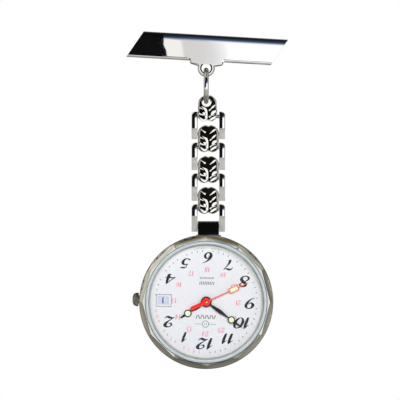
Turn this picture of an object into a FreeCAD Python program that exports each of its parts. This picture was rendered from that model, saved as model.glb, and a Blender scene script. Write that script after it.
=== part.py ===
import FreeCAD, Part
import math
import os

# A nurse's fob watch: a bar brooch, a jump ring, a bracelet chain of knot links
# and side bars, and a round quartz watch head that hangs with its dial upside down.
# Millimetres. X to the right, Z up, the front of the watch faces -Y.
# The origin is on the brooch pin's centre line, at the middle of the bar.

V = FreeCAD.Vector
ORIGIN = V(0, 0, 0)
X_AXIS = V(1, 0, 0)
Y_AXIS = V(0, 1, 0)
Z_AXIS = V(0, 0, 1)

# brooch
BAR_LENGTH = 33.5          # along the middle, the slanted ends add to it
BAR_HEIGHT = 6.1
BAR_SLANT = 3.7            # how far the top edge is shifted to the right
BAR_TILT = 3.3             # degrees, right end lower
BAR_BACK = -1.9            # y of the bar's flat back
BAR_EDGE = 1.0             # thickness at the long edges
BAR_CROWN = 0.6            # how much the front bulges in the middle
TAB_THICK = 0.9
TAB_HALF = 3.9             # half the width of the stepped tab
LUG_DROP = 4.6             # bar centre to lug hole
LUG_R = 2.0
LUG_HOLE_R = 1.1
LUG_EDGE = 0.4             # rounding of the hole's rims

# brooch pin, its hinge and its roll-over catch
STEM_R = 0.4
HINGE_X = -12.5
CATCH_X = 12.4
STEM_TAPER_X = 10.8        # where the wire starts to taper to its point
STEM_TIP_X = 14.2
KNUCKLE_R = 0.9
KNUCKLE_HALF = 0.55
RIVET_R = 0.35
EAR_R = 0.7
EAR_THICK = 0.4
EAR_GAP = 0.05
CATCH_OUT = 1.5
CATCH_IN = 1.05
ROTOR_OUT = 1.0
ROTOR_IN = 0.5
CATCH_SLOT = 1.0
CATCH_LENGTH = 1.8
ROTOR_LENGTH = 2.6
ROTOR_REST = -120          # degrees from the open slot

# jump ring and chain
RING_R = 3.65              # to the middle of the wire
RING_WIRE_R = 0.6
RING_DROP = 8.655          # bar centre to ring centre
KNOT_WIDTH = 4.92
KNOT_THICK = 1.8
KNOT_HOLE_R = 1.0
KNOT_HOLE_X = -0.42        # hole of the first knot, from the knot's middle
LOBE_R = 0.68              # slanted lobes of a knot link
LOBE_LENGTH = 1.3
LOBE_LEAN = 38
LOBE_X = 1.25
LOBE_ROWS = 4
LOBE_REACH = 1.06          # lobe centre to the link's top or bottom
BAR_GAP = 5.02             # between the two side bars
SIDE_BAR_WIDTH = 1.37
SIDE_BAR_THICK = 1.2
FIRST_PIN = -15.78         # height of the first link pin
KNOT_SPAN = 3.11           # between the two pins of a knot link
BARS_SPAN = 4.04           # between the two pins of a pair of side bars
LINKS = 4
LINK_SHIFT = 0.5           # the links hang this far right of the ring
LINK_PIN_R = 0.4
PIN_CLEAR = 0.05

# watch head, depths measured forwards from the chain's middle plane
CASE_DROP = 58.67          # bar centre to watch centre
CASE_R = 15.5
CASE_BORE = 13.2
CASE_BACK_BORE = 13.9
CASE_FRONT = 2.6
CASE_REAR = -2.5
BACK_OUT = -3.3
BEZEL_FRONT = 4.1
BEZEL_BORE = 13.95
BEZEL_FLAT = 14.35         # inner radius of the faceted chamfer, across flats
FACETS = 12
GLASS_R = 13.8
GLASS_BACK = 2.85
GLASS_FRONT = 4.2
DIAL_R = 13.05
DIAL_BACK = 1.15
DIAL_FRONT = 1.5
DIAL_TURN = 178.2          # degrees, dial upside down for the wearer
WINDOW_AT = 9.95
WINDOW_LONG = 2.5
WINDOW_WIDE = 1.88
CROWN_R = 1.6
CROWN_START = 15.65
CROWN_END = 17.1
STEM_DEPTH = -0.05
HOUR_AT = 56.2             # degrees clockwise from 12
MINUTE_AT = 303.8
SECOND_AT = 243.6

# movement, depths as above
PLATE_R = 11.7
PLATE_FRONT = 0.4
PLATE_BACK = -0.5
BRIDGE_FRONT = -1.5
BRIDGE_BACK = -1.75
BATTERY_R = 3.4
BATTERY_AT = (3.7, 6.41)
THIRD_AT = (-1.53, 2.65)
IDLER_AT = (-1.807, -2.58)
ROTOR_AT = (-2.546, -4.61)
MINUTE_WHEEL_AT = (2.4, 0.0)
DATE_WHEEL_AT = (-2.4, -4.157)

CHAIN_X = -LUG_DROP * math.sin(math.radians(BAR_TILT))
CHAIN_Y = BAR_BACK - TAB_THICK / 2
LINK_X = CHAIN_X + LINK_SHIFT
LUG_Z = -LUG_DROP * math.cos(math.radians(BAR_TILT))
RING_Z = -RING_DROP
PITCH = KNOT_SPAN + BARS_SPAN
LAST_PIN = FIRST_PIN - (LINKS - 1) * PITCH - BARS_SPAN
CASE_Z = -CASE_DROP

os.makedirs("parts", exist_ok=True)


def save(name, shape):
    shape.exportStep("parts/" + name + ".step")


def outline(points):
    return Part.Face(Part.makePolygon(points + [points[0]]))


def slab(points, y0, y1):
    """Outline in X and Z, with thickness from y0 to y1."""
    return outline([V(x, y0, z) for x, z in points]).extrude(V(0, y1 - y0, 0))


def plate(points, w0, w1):
    """Outline in the dial's own plane, with thickness from w0 to w1."""
    return outline([V(x, y, w0) for x, y in points]).extrude(V(0, 0, w1 - w0))


def disc(r, w0, w1, at=(0.0, 0.0)):
    return Part.makeCylinder(r, w1 - w0, V(at[0], at[1], w0))


def ring(r_in, r_out, w0, w1, at=(0.0, 0.0)):
    return disc(r_out, w0, w1, at).cut(disc(r_in, w0 - 1, w1 + 1, at))


def turned(profile):
    """Revolve a profile of (radius, depth) points about the watch axis."""
    return outline([V(r, 0, w) for r, w in profile]).revolve(ORIGIN, Z_AXIS, 360)


def rod(r, start, end):
    """A round bar between two points."""
    return Part.makeCylinder(r, (end - start).Length, start, end - start)


def block(x0, x1, y0, y1, z0, z1):
    return Part.makeBox(x1 - x0, y1 - y0, z1 - z0, V(x0, y0, z0))


def join(shapes):
    return shapes[0].multiFuse(shapes[1:]).removeSplitter()


def tilted(shape):
    """From the bar's own frame to the row's frame."""
    moved = shape.copy()
    moved.rotate(ORIGIN, Y_AXIS, BAR_TILT)
    return moved


def in_case(shape):
    """From the case's frame (X right, Y up, Z forwards) to the row's frame."""
    moved = shape.copy()
    moved.rotate(ORIGIN, X_AXIS, 90)
    moved.translate(V(CHAIN_X, CHAIN_Y, CASE_Z))
    return moved


def in_dial(shape):
    """From the dial's frame (12 up, 3 right, front forwards) to the row's frame."""
    moved = shape.copy()
    moved.rotate(ORIGIN, Z_AXIS, DIAL_TURN)
    return in_case(moved)


# ---- brooch ----

def bar_outline():
    half = BAR_LENGTH / 2
    shift = BAR_SLANT / 2
    top = BAR_HEIGHT / 2
    return [(-half - shift, -top), (half - shift, -top), (half + shift, top), (-half + shift, top)]


def brooch_bar():
    top = BAR_HEIGHT / 2
    front = BAR_BACK - BAR_EDGE
    half = BAR_LENGTH
    turn_down = 0.55
    a = V(-half, BAR_BACK, top)
    b = V(-half, front, top)
    mid = V(-half, front - BAR_CROWN, 0.2)
    c = V(-half, front - 0.08, -top + turn_down)
    d = V(-half, front + 0.35, -top)
    e = V(-half, BAR_BACK, -top)
    edges = [
        Part.makeLine(a, b),
        Part.Arc(b, mid, c).toShape(),
        Part.makeLine(c, d),
        Part.makeLine(d, e),
        Part.makeLine(e, a),
    ]
    body = Part.Face(Part.Wire(edges)).extrude(V(2 * half, 0, 0))
    body = body.common(slab(bar_outline(), BAR_BACK - 3, BAR_BACK + 1))
    y0 = BAR_BACK - TAB_THICK
    side = [(TAB_HALF, -2.6), (TAB_HALF, -3.3), (3.65, -3.75), (3.3, -4.0), (1.9, -4.42), (1.9, -5.0)]
    tab = slab([(-x, z) for x, z in reversed(side)] + side, y0, BAR_BACK)
    lug = Part.makeCylinder(LUG_R, TAB_THICK, V(0, y0, -LUG_DROP), Y_AXIS)
    hole = Part.makeCylinder(LUG_HOLE_R, 3, V(0, y0 - 1, -LUG_DROP), Y_AXIS)
    tab = tab.fuse(lug).removeSplitter().cut(hole)
    rims = [e for e in tab.Edges if round_edge(e, LUG_HOLE_R) or round_edge(e, LUG_R)]
    tab = tab.makeFillet(LUG_EDGE, [e for e in rims if round_edge(e, LUG_HOLE_R)])
    low = [e for e in tab.Edges if round_edge(e, LUG_R)]
    tab = tab.makeFillet(LUG_EDGE * 0.9, low)
    return tilted(body.fuse(tab).removeSplitter())


def round_edge(edge, r):
    curve = edge.Curve
    return isinstance(curve, Part.Circle) and abs(curve.Radius - r) < 1e-6 and edge.Length > r


def pin_hinge_bracket():
    reach = KNUCKLE_HALF + EAR_GAP
    outer = reach + EAR_THICK
    base = block(HINGE_X - 1.3, HINGE_X + 1.3, BAR_BACK, BAR_BACK + 0.4, -outer, outer)
    ears = block(HINGE_X - EAR_R, HINGE_X + EAR_R, BAR_BACK, 0, -outer, outer)
    ears = ears.fuse(Part.makeCylinder(EAR_R, 2 * outer, V(HINGE_X, 0, -outer)))
    gap = block(HINGE_X - 2, HINGE_X + 2, BAR_BACK + 0.4, 3, -reach, reach)
    bracket = base.fuse(ears.cut(gap)).removeSplitter()
    return tilted(bracket.cut(Part.makeCylinder(RIVET_R, 6, V(HINGE_X, 0, -3))))


def pin_hinge_rivet():
    outer = KNUCKLE_HALF + EAR_GAP + EAR_THICK
    rivet = Part.makeCylinder(RIVET_R, 2 * outer, V(HINGE_X, 0, -outer))
    for z in (-outer - 0.15, outer):
        rivet = rivet.fuse(Part.makeCylinder(RIVET_R + 0.18, 0.15, V(HINGE_X, 0, z)))
    return tilted(rivet.removeSplitter())


def pin_stem():
    knuckle = Part.makeCylinder(KNUCKLE_R, 2 * KNUCKLE_HALF, V(HINGE_X, 0, -KNUCKLE_HALF))
    point = STEM_TIP_X - STEM_TAPER_X
    wire = rod(STEM_R, V(HINGE_X, 0, 0), V(STEM_TIP_X - point, 0, 0))
    cone = Part.makeCone(STEM_R, 0.06, point, V(STEM_TIP_X - point, 0, 0), X_AXIS)
    stem = join([knuckle, wire, cone])
    return tilted(stem.cut(Part.makeCylinder(RIVET_R + PIN_CLEAR, 6, V(HINGE_X, 0, -3))))


def catch_body():
    x0 = CATCH_X - CATCH_LENGTH / 2
    tube = Part.makeCylinder(CATCH_OUT, CATCH_LENGTH, V(x0, 0, 0), X_AXIS)
    foot = block(x0, x0 + CATCH_LENGTH, BAR_BACK, -0.6, -1.1, 1.1)
    sole = block(x0, x0 + CATCH_LENGTH + 0.3, BAR_BACK, BAR_BACK + 0.35, -1.4, 1.4)
    body = join([tube, foot, sole])
    body = body.cut(Part.makeCylinder(CATCH_IN, 8, V(x0 - 3, 0, 0), X_AXIS))
    slot = block(x0 - 3, x0 + 6, 0, 3, -CATCH_SLOT / 2, CATCH_SLOT / 2)
    return tilted(body.cut(slot))


def catch_rotor():
    x0 = CATCH_X - ROTOR_LENGTH / 2
    tube = Part.makeCylinder(ROTOR_OUT, ROTOR_LENGTH, V(x0, 0, 0), X_AXIS)
    lever_x = x0 - 0.02
    lever = block(lever_x, lever_x + 0.37, -1.7, 0, -0.45, 0.45)
    lever = lever.fuse(Part.makeCylinder(ROTOR_OUT, 0.37, V(lever_x, 0, 0), X_AXIS))
    rotor = tube.fuse(lever).removeSplitter()
    rotor = rotor.cut(Part.makeCylinder(ROTOR_IN, 8, V(x0 - 3, 0, 0), X_AXIS))
    rotor = rotor.cut(block(x0 - 1, x0 + 6, 0, 3, -CATCH_SLOT / 2, CATCH_SLOT / 2))
    rotor.rotate(ORIGIN, X_AXIS, ROTOR_REST)
    return tilted(rotor)


# ---- jump ring and chain ----

def jump_ring():
    centre = V(CHAIN_X, CHAIN_Y, RING_Z)
    return Part.makeTorus(RING_R, RING_WIRE_R, centre, X_AXIS)


def lobe(side, x, z):
    """One polished slanted lobe of a knot link, leaning down towards the middle."""
    dx = side * LOBE_LENGTH / 2 * math.cos(math.radians(LOBE_LEAN))
    dz = LOBE_LENGTH / 2 * math.sin(math.radians(LOBE_LEAN))
    start = V(side * x + dx, 0, z + dz)
    end = V(side * x - dx, 0, z - dz)
    ends = [Part.makeSphere(LOBE_R, start), Part.makeSphere(LOBE_R, end)]
    return join([rod(LOBE_R, start, end)] + ends)


def knot_link(number, upper, lower):
    """A knot of two columns of slanted lobes round a core, between heights upper and lower."""
    top = upper + (1.475 if number == 1 else 2.09)
    bottom = lower - 1.28
    half = KNOT_THICK / 2 - 0.05
    narrow = 0.5 if number == 1 else 0.0
    first = top - LOBE_REACH
    step = (top - bottom - 2 * LOBE_REACH) / (LOBE_ROWS - 1)
    parts = [block(-1.7, 1.7, -0.6, 0.6, bottom + 0.75, top - 0.75)]
    for side in (-1, 1):
        for row in range(LOBE_ROWS):
            inset = narrow * (1 - row / (LOBE_ROWS - 1))
            parts.append(lobe(side, LOBE_X - inset / 2, first - row * step))
    for z in (lower, upper):
        if number > 1 or z == lower:
            parts.append(rod(0.85, V(-KNOT_WIDTH / 2, 0, z), V(KNOT_WIDTH / 2, 0, z)))
    knot = join(parts)
    knot = knot.common(block(-KNOT_WIDTH / 2, KNOT_WIDTH / 2, -half, half, bottom, top))
    knot = knot.cut(rod(LINK_PIN_R + PIN_CLEAR, V(-4, 0, lower), V(4, 0, lower)))
    if number == 1:
        hole = upper - 0.145
        knot = knot.cut(rod(KNOT_HOLE_R, V(KNOT_HOLE_X, -3, hole), V(KNOT_HOLE_X, 3, hole)))
    else:
        knot = knot.cut(rod(LINK_PIN_R + PIN_CLEAR, V(-4, 0, upper), V(4, 0, upper)))
    knot.translate(V(LINK_X, CHAIN_Y, 0))
    return knot


def side_bar(side, upper, lower):
    """One side bar: rounded shoulder and polished upper part, flat lower part."""
    inner = BAR_GAP / 2
    outer = inner + SIDE_BAR_WIDTH
    top = upper + 1.1
    bottom = lower - 1.2
    half = SIDE_BAR_THICK / 2
    shoulder = 0.9
    arc = []
    for k in range(7):
        a = math.radians(15 * k)
        arc.append((outer - shoulder + shoulder * math.sin(a), top - shoulder + shoulder * math.cos(a)))
    face = [(inner, top)] + arc + [(outer, bottom + 0.1), (outer - 0.1, bottom), (inner, bottom)]
    bar = slab([(side * x, z) for x, z in face], -half, half)
    ends = [e for e in bar.Edges if abs(abs(e.CenterOfMass.y) - half) < 1e-6 and e.Length > 3]
    bar = bar.makeChamfer(0.12, ends)
    for z in (upper, lower):
        bar = bar.cut(rod(LINK_PIN_R, V(-6, 0, z), V(6, 0, z)))
    bar.translate(V(LINK_X, CHAIN_Y, 0))
    return bar


def link_pin(height):
    end = BAR_GAP / 2 + SIDE_BAR_WIDTH - 0.06
    return rod(LINK_PIN_R, V(LINK_X - end, CHAIN_Y, height), V(LINK_X + end, CHAIN_Y, height))


# ---- watch case ----

def case_body():
    shell = turned([
        (CASE_BORE, CASE_FRONT), (15.3, CASE_FRONT), (CASE_R, CASE_FRONT - 0.2), (CASE_R, -0.6),
        (15.36, -1.3), (15.0, -1.95), (14.4, CASE_REAR), (CASE_BACK_BORE, CASE_REAR),
        (CASE_BACK_BORE, CASE_REAR + 0.9), (CASE_BORE, CASE_REAR + 0.9),
    ])
    pin_up = CASE_DROP + LAST_PIN
    left = LINK_SHIFT - KNOT_WIDTH / 2
    right = LINK_SHIFT + KNOT_WIDTH / 2
    eye = Part.makeCylinder(1.25, KNOT_WIDTH, V(left, pin_up, 0), X_AXIS)
    side = [(-1.0, 14.6), (2.0, 14.6), (2.0, 15.4), (1.2, pin_up + 0.35), (-1.0, pin_up)]
    neck = outline([V(left, y, w) for w, y in side]).extrude(V(right - left, 0, 0))
    pad = block(left - 0.45, right + 0.45, 14.6, 15.46, -1.5, 2.2)
    body = join([shell, eye, neck, pad])
    body = body.cut(Part.makeCylinder(LINK_PIN_R + PIN_CLEAR, 8, V(-4, pin_up, 0), X_AXIS))
    body = in_case(body)
    return body.cut(in_dial(rod(0.95, V(12, 0, STEM_DEPTH), V(17, 0, STEM_DEPTH))))


def facet_polygon(across, w):
    corner = across / math.cos(math.pi / FACETS)
    points = []
    for k in range(FACETS + 1):
        a = 2 * math.pi * k / FACETS
        points.append(V(corner * math.cos(a), corner * math.sin(a), w))
    return Part.makePolygon(points)


def bezel():
    band = ring(BEZEL_BORE, CASE_R - 0.05, CASE_FRONT, BEZEL_FRONT)
    slope = 1.25
    foot = BEZEL_FLAT + slope * (BEZEL_FRONT - CASE_FRONT)
    cone = Part.makeLoft([facet_polygon(foot, CASE_FRONT), facet_polygon(BEZEL_FLAT, BEZEL_FRONT)], True)
    return in_case(band.common(cone))


def crystal():
    return in_case(turned([
        (0, GLASS_BACK), (GLASS_R, GLASS_BACK), (GLASS_R, GLASS_FRONT - 0.45),
        (13.25, GLASS_FRONT), (0, GLASS_FRONT),
    ]))


def crystal_gasket():
    return in_case(ring(GLASS_R, BEZEL_BORE, GLASS_BACK + 0.05, GLASS_FRONT - 0.55))


def dial_ring():
    return in_case(turned([
        (12.95, DIAL_FRONT), (CASE_BORE, DIAL_FRONT), (CASE_BORE, GLASS_BACK), (13.1, GLASS_BACK),
    ]))


def case_back():
    cover = turned([
        (0, BACK_OUT), (12.6, BACK_OUT), (13.3, BACK_OUT + 0.12), (14.3, CASE_REAR - 0.25),
        (14.3, CASE_REAR), (13.85, CASE_REAR), (13.85, CASE_REAR + 0.45), (13.3, CASE_REAR + 0.45),
        (13.3, CASE_REAR), (0, CASE_REAR),
    ])
    notch = block(-1.2, 1.2, -14.6, -13.9, BACK_OUT - 1, CASE_REAR - 0.02)
    return in_case(cover.cut(notch))


def case_back_gasket():
    return in_case(ring(13.3, 13.85, CASE_REAR + 0.45, CASE_REAR + 0.9))


def crown_tube():
    return in_dial(rod(0.95, V(13.2, 0, STEM_DEPTH), V(16.35, 0, STEM_DEPTH)).cut(
        rod(STEM_R + PIN_CLEAR, V(12, 0, STEM_DEPTH), V(18, 0, STEM_DEPTH))))


def crown():
    base = rod(CROWN_R, V(CROWN_START, 0, 0), V(CROWN_END - 0.4, 0, 0))
    dome_r = (CROWN_R ** 2 + 0.4 ** 2) / 0.8
    dome = Part.makeSphere(dome_r, V(CROWN_END - dome_r, 0, 0))
    keep = rod(CROWN_R, V(CROWN_START, 0, 0), V(CROWN_END + 1, 0, 0))
    body = base.fuse(dome.common(keep).common(block(CROWN_START + 0.9, 20, -3, 3, -3, 3)))
    flutes = []
    for k in range(24):
        a = 2 * math.pi * k / 24
        y = (CROWN_R + 0.03) * math.cos(a)
        z = (CROWN_R + 0.03) * math.sin(a)
        flutes.append(rod(0.11, V(CROWN_START - 1, y, z), V(CROWN_END - 0.5, y, z)))
    body = body.removeSplitter().cut(flutes)
    body = body.cut(rod(1.2, V(CROWN_START - 1, 0, 0), V(16.6, 0, 0)))
    body.translate(V(0, 0, STEM_DEPTH))
    return in_dial(body)


def crown_gasket():
    outer = rod(1.17, V(15.8, 0, STEM_DEPTH), V(16.15, 0, STEM_DEPTH))
    return in_dial(outer.cut(rod(0.98, V(15, 0, STEM_DEPTH), V(17, 0, STEM_DEPTH))))


def winding_stem():
    stem = rod(STEM_R, V(5.7, 0, STEM_DEPTH), V(16.6, 0, STEM_DEPTH))
    groove = rod(0.6, V(9.3, 0, STEM_DEPTH), V(9.8, 0, STEM_DEPTH))
    groove = groove.cut(rod(0.26, V(9, 0, STEM_DEPTH), V(10, 0, STEM_DEPTH)))
    return in_dial(stem.cut(groove))


def sliding_pinion():
    body = gear(16, 0.075, 0, 0, 1.0, ORIGIN, STEM_R)
    body.rotate(ORIGIN, Y_AXIS, 90)
    body.translate(V(5.9, 0, STEM_DEPTH))
    return in_dial(body)


# ---- dial and hands ----

def dial():
    face = disc(DIAL_R, DIAL_BACK, DIAL_FRONT).cut(disc(0.85, 0, 3))
    x0 = WINDOW_AT - WINDOW_LONG / 2
    x1 = WINDOW_AT + WINDOW_LONG / 2
    window = block(x0, x1, -WINDOW_WIDE / 2, WINDOW_WIDE / 2, 0, 3)
    return in_dial(face.cut(window))


def date_ring():
    disc_r = 11.6
    body = ring(8.6, disc_r, 0.85, 1.05)
    teeth = []
    for k in range(31):
        a = 2 * math.pi * (k + 0.5) / 31
        tooth = block(8.3, 8.65, -0.16, 0.16, 0.85, 1.05)
        tooth.rotate(ORIGIN, Z_AXIS, math.degrees(a))
        teeth.append(tooth)
    return in_dial(join([body] + teeth))


def pointing(shape, degrees):
    """Turn a hand drawn at 12 to its place, clockwise."""
    moved = shape.copy()
    moved.rotate(ORIGIN, Z_AXIS, -degrees)
    return in_dial(moved)


def leaf_hand(tip, eye_at, eye_r, widest, w0, w1, bore):
    half = [
        (0.16, 0.7), (0.3, 1.3), (0.42, 0.36 * eye_at), (widest, 0.52 * eye_at),
        (0.8 * widest, 0.68 * eye_at), (0.17, eye_at - eye_r - 0.25), (0.17, eye_at),
        (0.27, eye_at + eye_r), (0.2, eye_at + eye_r + 0.9), (0.03, tip),
    ]
    blade = plate(half + [(-x, y) for x, y in reversed(half)], w0, w1)
    eye = disc(eye_r, w0, w1, (0.0, eye_at))
    body = join([blade, eye, disc(1.08, w0, w1)])
    body = body.cut(disc(eye_r - 0.27, 0, 4, (0.0, eye_at)))
    return body.cut(disc(bore, 0, 4))


def hour_hand():
    return pointing(leaf_hand(7.15, 5.0, 0.87, 0.45, 1.68, 1.83, 0.75), HOUR_AT)


def minute_hand():
    return pointing(leaf_hand(10.6, 7.15, 0.85, 0.46, 2.0, 2.15, 0.5), MINUTE_AT)


def second_hand():
    w0 = 2.33
    w1 = 2.45
    needle = plate([(0.16, 0), (0.1, 10.5), (-0.1, 10.5), (-0.16, 0)], w0, w1)
    box = block(-0.64, 0.64, 5.9, 8.15, w0, w1)
    tail = block(-0.44, 0.44, -3.6, 0, w0, w1).fuse(disc(0.44, w0, w1, (0.0, -3.6)))
    hand = join([needle, box, tail, disc(0.93, w0, w1 + 0.05)])
    hand = hand.cut(block(-0.42, 0.42, 6.14, 7.91, 0, 4))
    return pointing(hand.cut(disc(0.2, 0, 4)), SECOND_AT)


# ---- movement ----

def gear(teeth, module, tooth_at, w0, w1, at, bore):
    """A spur gear with one tooth centred on the direction tooth_at, in degrees."""
    pitch_r = teeth * module / 2
    tip = pitch_r + 0.85 * module
    root = pitch_r - 1.15 * module
    points = []
    for k in range(teeth):
        middle = math.radians(tooth_at) + 2 * math.pi * k / teeth
        pitch = 2 * math.pi / teeth
        for share, r in ((-0.27, root), (-0.12, tip), (0.12, tip), (0.27, root)):
            a = middle + share * pitch
            points.append(V(r * math.cos(a), r * math.sin(a), w0))
    body = outline(points).extrude(V(0, 0, w1 - w0))
    if bore > 0:
        body = body.cut(disc(bore, w0 - 1, w1 + 1))
    body.translate(V(at[0], at[1], 0))
    return body


def heading(start, end):
    """Direction in degrees from one centre to another."""
    return math.degrees(math.atan2(end[1] - start[1], end[0] - start[0]))


def gap_at(teeth, degrees):
    """Tooth position that leaves a gap on the given direction."""
    return degrees + 180.0 / teeth


CENTRE = (0.0, 0.0)


def main_plate():
    body = disc(PLATE_R, PLATE_BACK, PLATE_FRONT)
    body = body.fuse(ring(9.5, PLATE_R, PLATE_FRONT, 0.83))
    cuts = [
        disc(BATTERY_R + 0.1, -3, 3, BATTERY_AT),
        disc(0.55, -3, 3),
        block(5.5, 12.5, -0.5, 0.5, -0.6, 0.41),
        block(5.6, 8.3, -0.8, 0.8, -0.6, 0.41),
        disc(0.15, -3, 3, THIRD_AT),
        disc(0.15, -3, 3, IDLER_AT),
        disc(0.15, -3, 3, ROTOR_AT),
        disc(0.18, -3, 3, MINUTE_WHEEL_AT),
        disc(0.23, -3, 3, DATE_WHEEL_AT),
    ]
    for at in SCREWS:
        cuts.append(disc(0.3, -3, 0.2, at))
    body = body.cut(cuts)
    return in_dial(body)


SCREWS = ((-5.6, 1.5), (4.6, -1.9), (0.9, -6.1))


def train_bridge():
    body = disc(6.6, BRIDGE_BACK, BRIDGE_FRONT)
    body = body.cut([
        disc(BATTERY_R + 0.15, -3, 3, BATTERY_AT),
        disc(0.15, -3, 3, THIRD_AT),
        disc(0.15, -3, 3, IDLER_AT),
        disc(0.15, -3, 3, ROTOR_AT),
        disc(0.25, -3, 3),
    ] + [disc(0.3, -3, 3, at) for at in SCREWS])
    posts = [ring(0.3, 0.6, BRIDGE_FRONT, PLATE_BACK, at) for at in SCREWS]
    return in_dial(join([body] + posts))


def bridge_screws():
    screws = []
    for at in SCREWS:
        head = disc(0.55, BRIDGE_BACK - 0.25, BRIDGE_BACK, at)
        slot = block(at[0] - 1, at[0] + 1, at[1] - 0.07, at[1] + 0.07, -2.2, BRIDGE_BACK - 0.12)
        screws.append(head.cut(slot).fuse(disc(0.3, BRIDGE_BACK, 0.1, at)))
    return in_dial(Part.makeCompound(screws))


def movement_holder():
    body = ring(11.75, 13.15, -1.5, DIAL_BACK)
    return in_dial(body.cut(rod(0.5, V(11, 0, STEM_DEPTH), V(14, 0, STEM_DEPTH))))


def circuit_board():
    body = disc(11.3, -1.95, -1.8).cut([
        disc(BATTERY_R + 0.15, -3, 0, BATTERY_AT),
        disc(6.9, -3, 0),
        block(0, 13, -1.3, 12, -3, 0),
    ])
    return in_dial(body)


def quartz_can():
    return in_dial(rod(0.62, V(8.9, -5.9, -1.15), V(6.0, -8.9, -1.15)))


def ic_chip():
    return in_dial(block(-9.6, -7.9, 1.0, 2.7, -1.78, -1.45))


COIL_Y = -8.1
COIL_LOW = -4.6
COIL_HIGH = 3.6


def coil_core():
    core = block(COIL_LOW - 1.1, COIL_HIGH + 1.1, COIL_Y - 0.3, COIL_Y + 0.3, -1.2, -0.86)
    left = block(COIL_LOW - 1.4, COIL_LOW - 0.2, COIL_Y - 0.6, COIL_Y + 1.3, -1.2, -0.86)
    right = block(COIL_HIGH + 0.2, COIL_HIGH + 1.4, COIL_Y - 0.6, COIL_Y + 1.3, -1.2, -0.86)
    return in_dial(join([core, left, right]))


def coil_winding():
    wound = block(COIL_LOW, COIL_HIGH, COIL_Y - 0.75, COIL_Y + 0.75, -1.6, -0.55)
    long_edges = [e for e in wound.Edges if abs(e.Length - (COIL_HIGH - COIL_LOW)) < 1e-6]
    wound = wound.makeFillet(0.35, long_edges)
    return in_dial(wound.cut(block(COIL_LOW - 1, COIL_HIGH + 1, COIL_Y - 0.3, COIL_Y + 0.3, -1.2, -0.86)))


def stator():
    level = (-0.84, -0.52)
    x0 = COIL_LOW - 1.4
    x1 = COIL_HIGH + 1.4
    y = COIL_Y + 1.3
    low = COIL_Y + 0.85
    points = [
        (x0, low), (x0, y + 0.6), (-4.2, -3.75), (-1.2, -4.1), (0.6, y + 0.6), (x1, y), (x1, low),
    ]
    body = plate(points, level[0], level[1])
    return in_dial(body.cut([
        disc(0.72, -2, 0, ROTOR_AT), disc(0.75, -3, 0, SCREWS[2]),
    ]))


def battery():
    can = disc(BATTERY_R, -1.9, 0.3, BATTERY_AT)
    cap = disc(BATTERY_R - 0.45, 0.3, 0.38, BATTERY_AT)
    return in_dial(can.fuse(cap).removeSplitter())


def battery_strap():
    x, y = BATTERY_AT
    bar = block(x - 0.9, x + 0.9, y - 4.0, y + 4.0, -2.05, -1.92)
    return in_dial(bar.common(disc(11.2, -3, 0)))


def cannon_pinion():
    tube = disc(0.5, -0.75, 2.15)
    wheel = gear(64, 0.085, heading(CENTRE, THIRD_AT), -0.75, -0.6, CENTRE, 0)
    pinion = gear(12, 0.1, heading(CENTRE, MINUTE_WHEEL_AT), 0.42, 0.58, CENTRE, 0)
    return in_dial(join([tube, wheel, pinion]).cut(disc(0.25, -3, 3)))


def hour_wheel():
    wheel = gear(40, 0.096, heading(CENTRE, MINUTE_WHEEL_AT), 0.61, 0.73, CENTRE, 0)
    pinion = gear(20, 0.16, heading(CENTRE, DATE_WHEEL_AT), 0.73, 0.9, CENTRE, 0)
    tube = disc(0.75, 0.61, 1.83)
    return in_dial(join([wheel, pinion, tube]).cut(disc(0.55, -3, 3)))


def minute_wheel():
    back = heading(MINUTE_WHEEL_AT, CENTRE)
    wheel = gear(36, 0.1, gap_at(36, back), 0.43, 0.57, MINUTE_WHEEL_AT, 0)
    pinion = gear(10, 0.096, gap_at(10, back), 0.57, 0.75, MINUTE_WHEEL_AT, 0)
    return in_dial(join([wheel, pinion, disc(0.15, -0.3, 0.8, MINUTE_WHEEL_AT)]))


def seconds_wheel():
    wheel = gear(60, 0.09, gap_at(60, heading(CENTRE, IDLER_AT)), -1.37, -1.22, CENTRE, 0)
    pinion = gear(8, 0.09, heading(CENTRE, THIRD_AT), -1.22, -0.85, CENTRE, 0)
    arbor = disc(0.2, -1.7, 2.5)
    return in_dial(join([wheel, pinion, arbor]))


def third_wheel():
    back = heading(THIRD_AT, CENTRE)
    wheel = gear(60, 0.09, gap_at(60, back), -1.07, -0.92, THIRD_AT, 0)
    pinion = gear(8, 0.085, gap_at(8, back), -0.92, -0.55, THIRD_AT, 0)
    return in_dial(join([wheel, pinion, disc(0.12, -1.7, -0.1, THIRD_AT)]))


def intermediate_wheel():
    back = heading(IDLER_AT, CENTRE)
    wheel = gear(40, 0.09, gap_at(40, heading(IDLER_AT, ROTOR_AT)), -1.07, -0.92, IDLER_AT, 0)
    pinion = gear(10, 0.09, back, -1.42, -1.07, IDLER_AT, 0)
    return in_dial(join([wheel, pinion, disc(0.12, -1.7, -0.1, IDLER_AT)]))


def rotor():
    pinion = gear(8, 0.09, heading(ROTOR_AT, IDLER_AT), -1.1, -0.84, ROTOR_AT, 0)
    magnet = disc(0.6, -0.84, -0.56, ROTOR_AT)
    return in_dial(join([pinion, magnet, disc(0.12, -1.7, -0.1, ROTOR_AT)]))


def date_driving_wheel():
    back = heading(DATE_WHEEL_AT, CENTRE)
    wheel = gear(40, 0.16, gap_at(40, back), 0.76, 0.88, DATE_WHEEL_AT, 0)
    finger = block(0, 3.6, -0.18, 0.18, 0.88, 1.03)
    finger.rotate(ORIGIN, Z_AXIS, back - 28)
    finger.translate(V(DATE_WHEEL_AT[0], DATE_WHEEL_AT[1], 0))
    return in_dial(join([wheel, finger, disc(0.2, -0.1, 1.03, DATE_WHEEL_AT)]))


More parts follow.
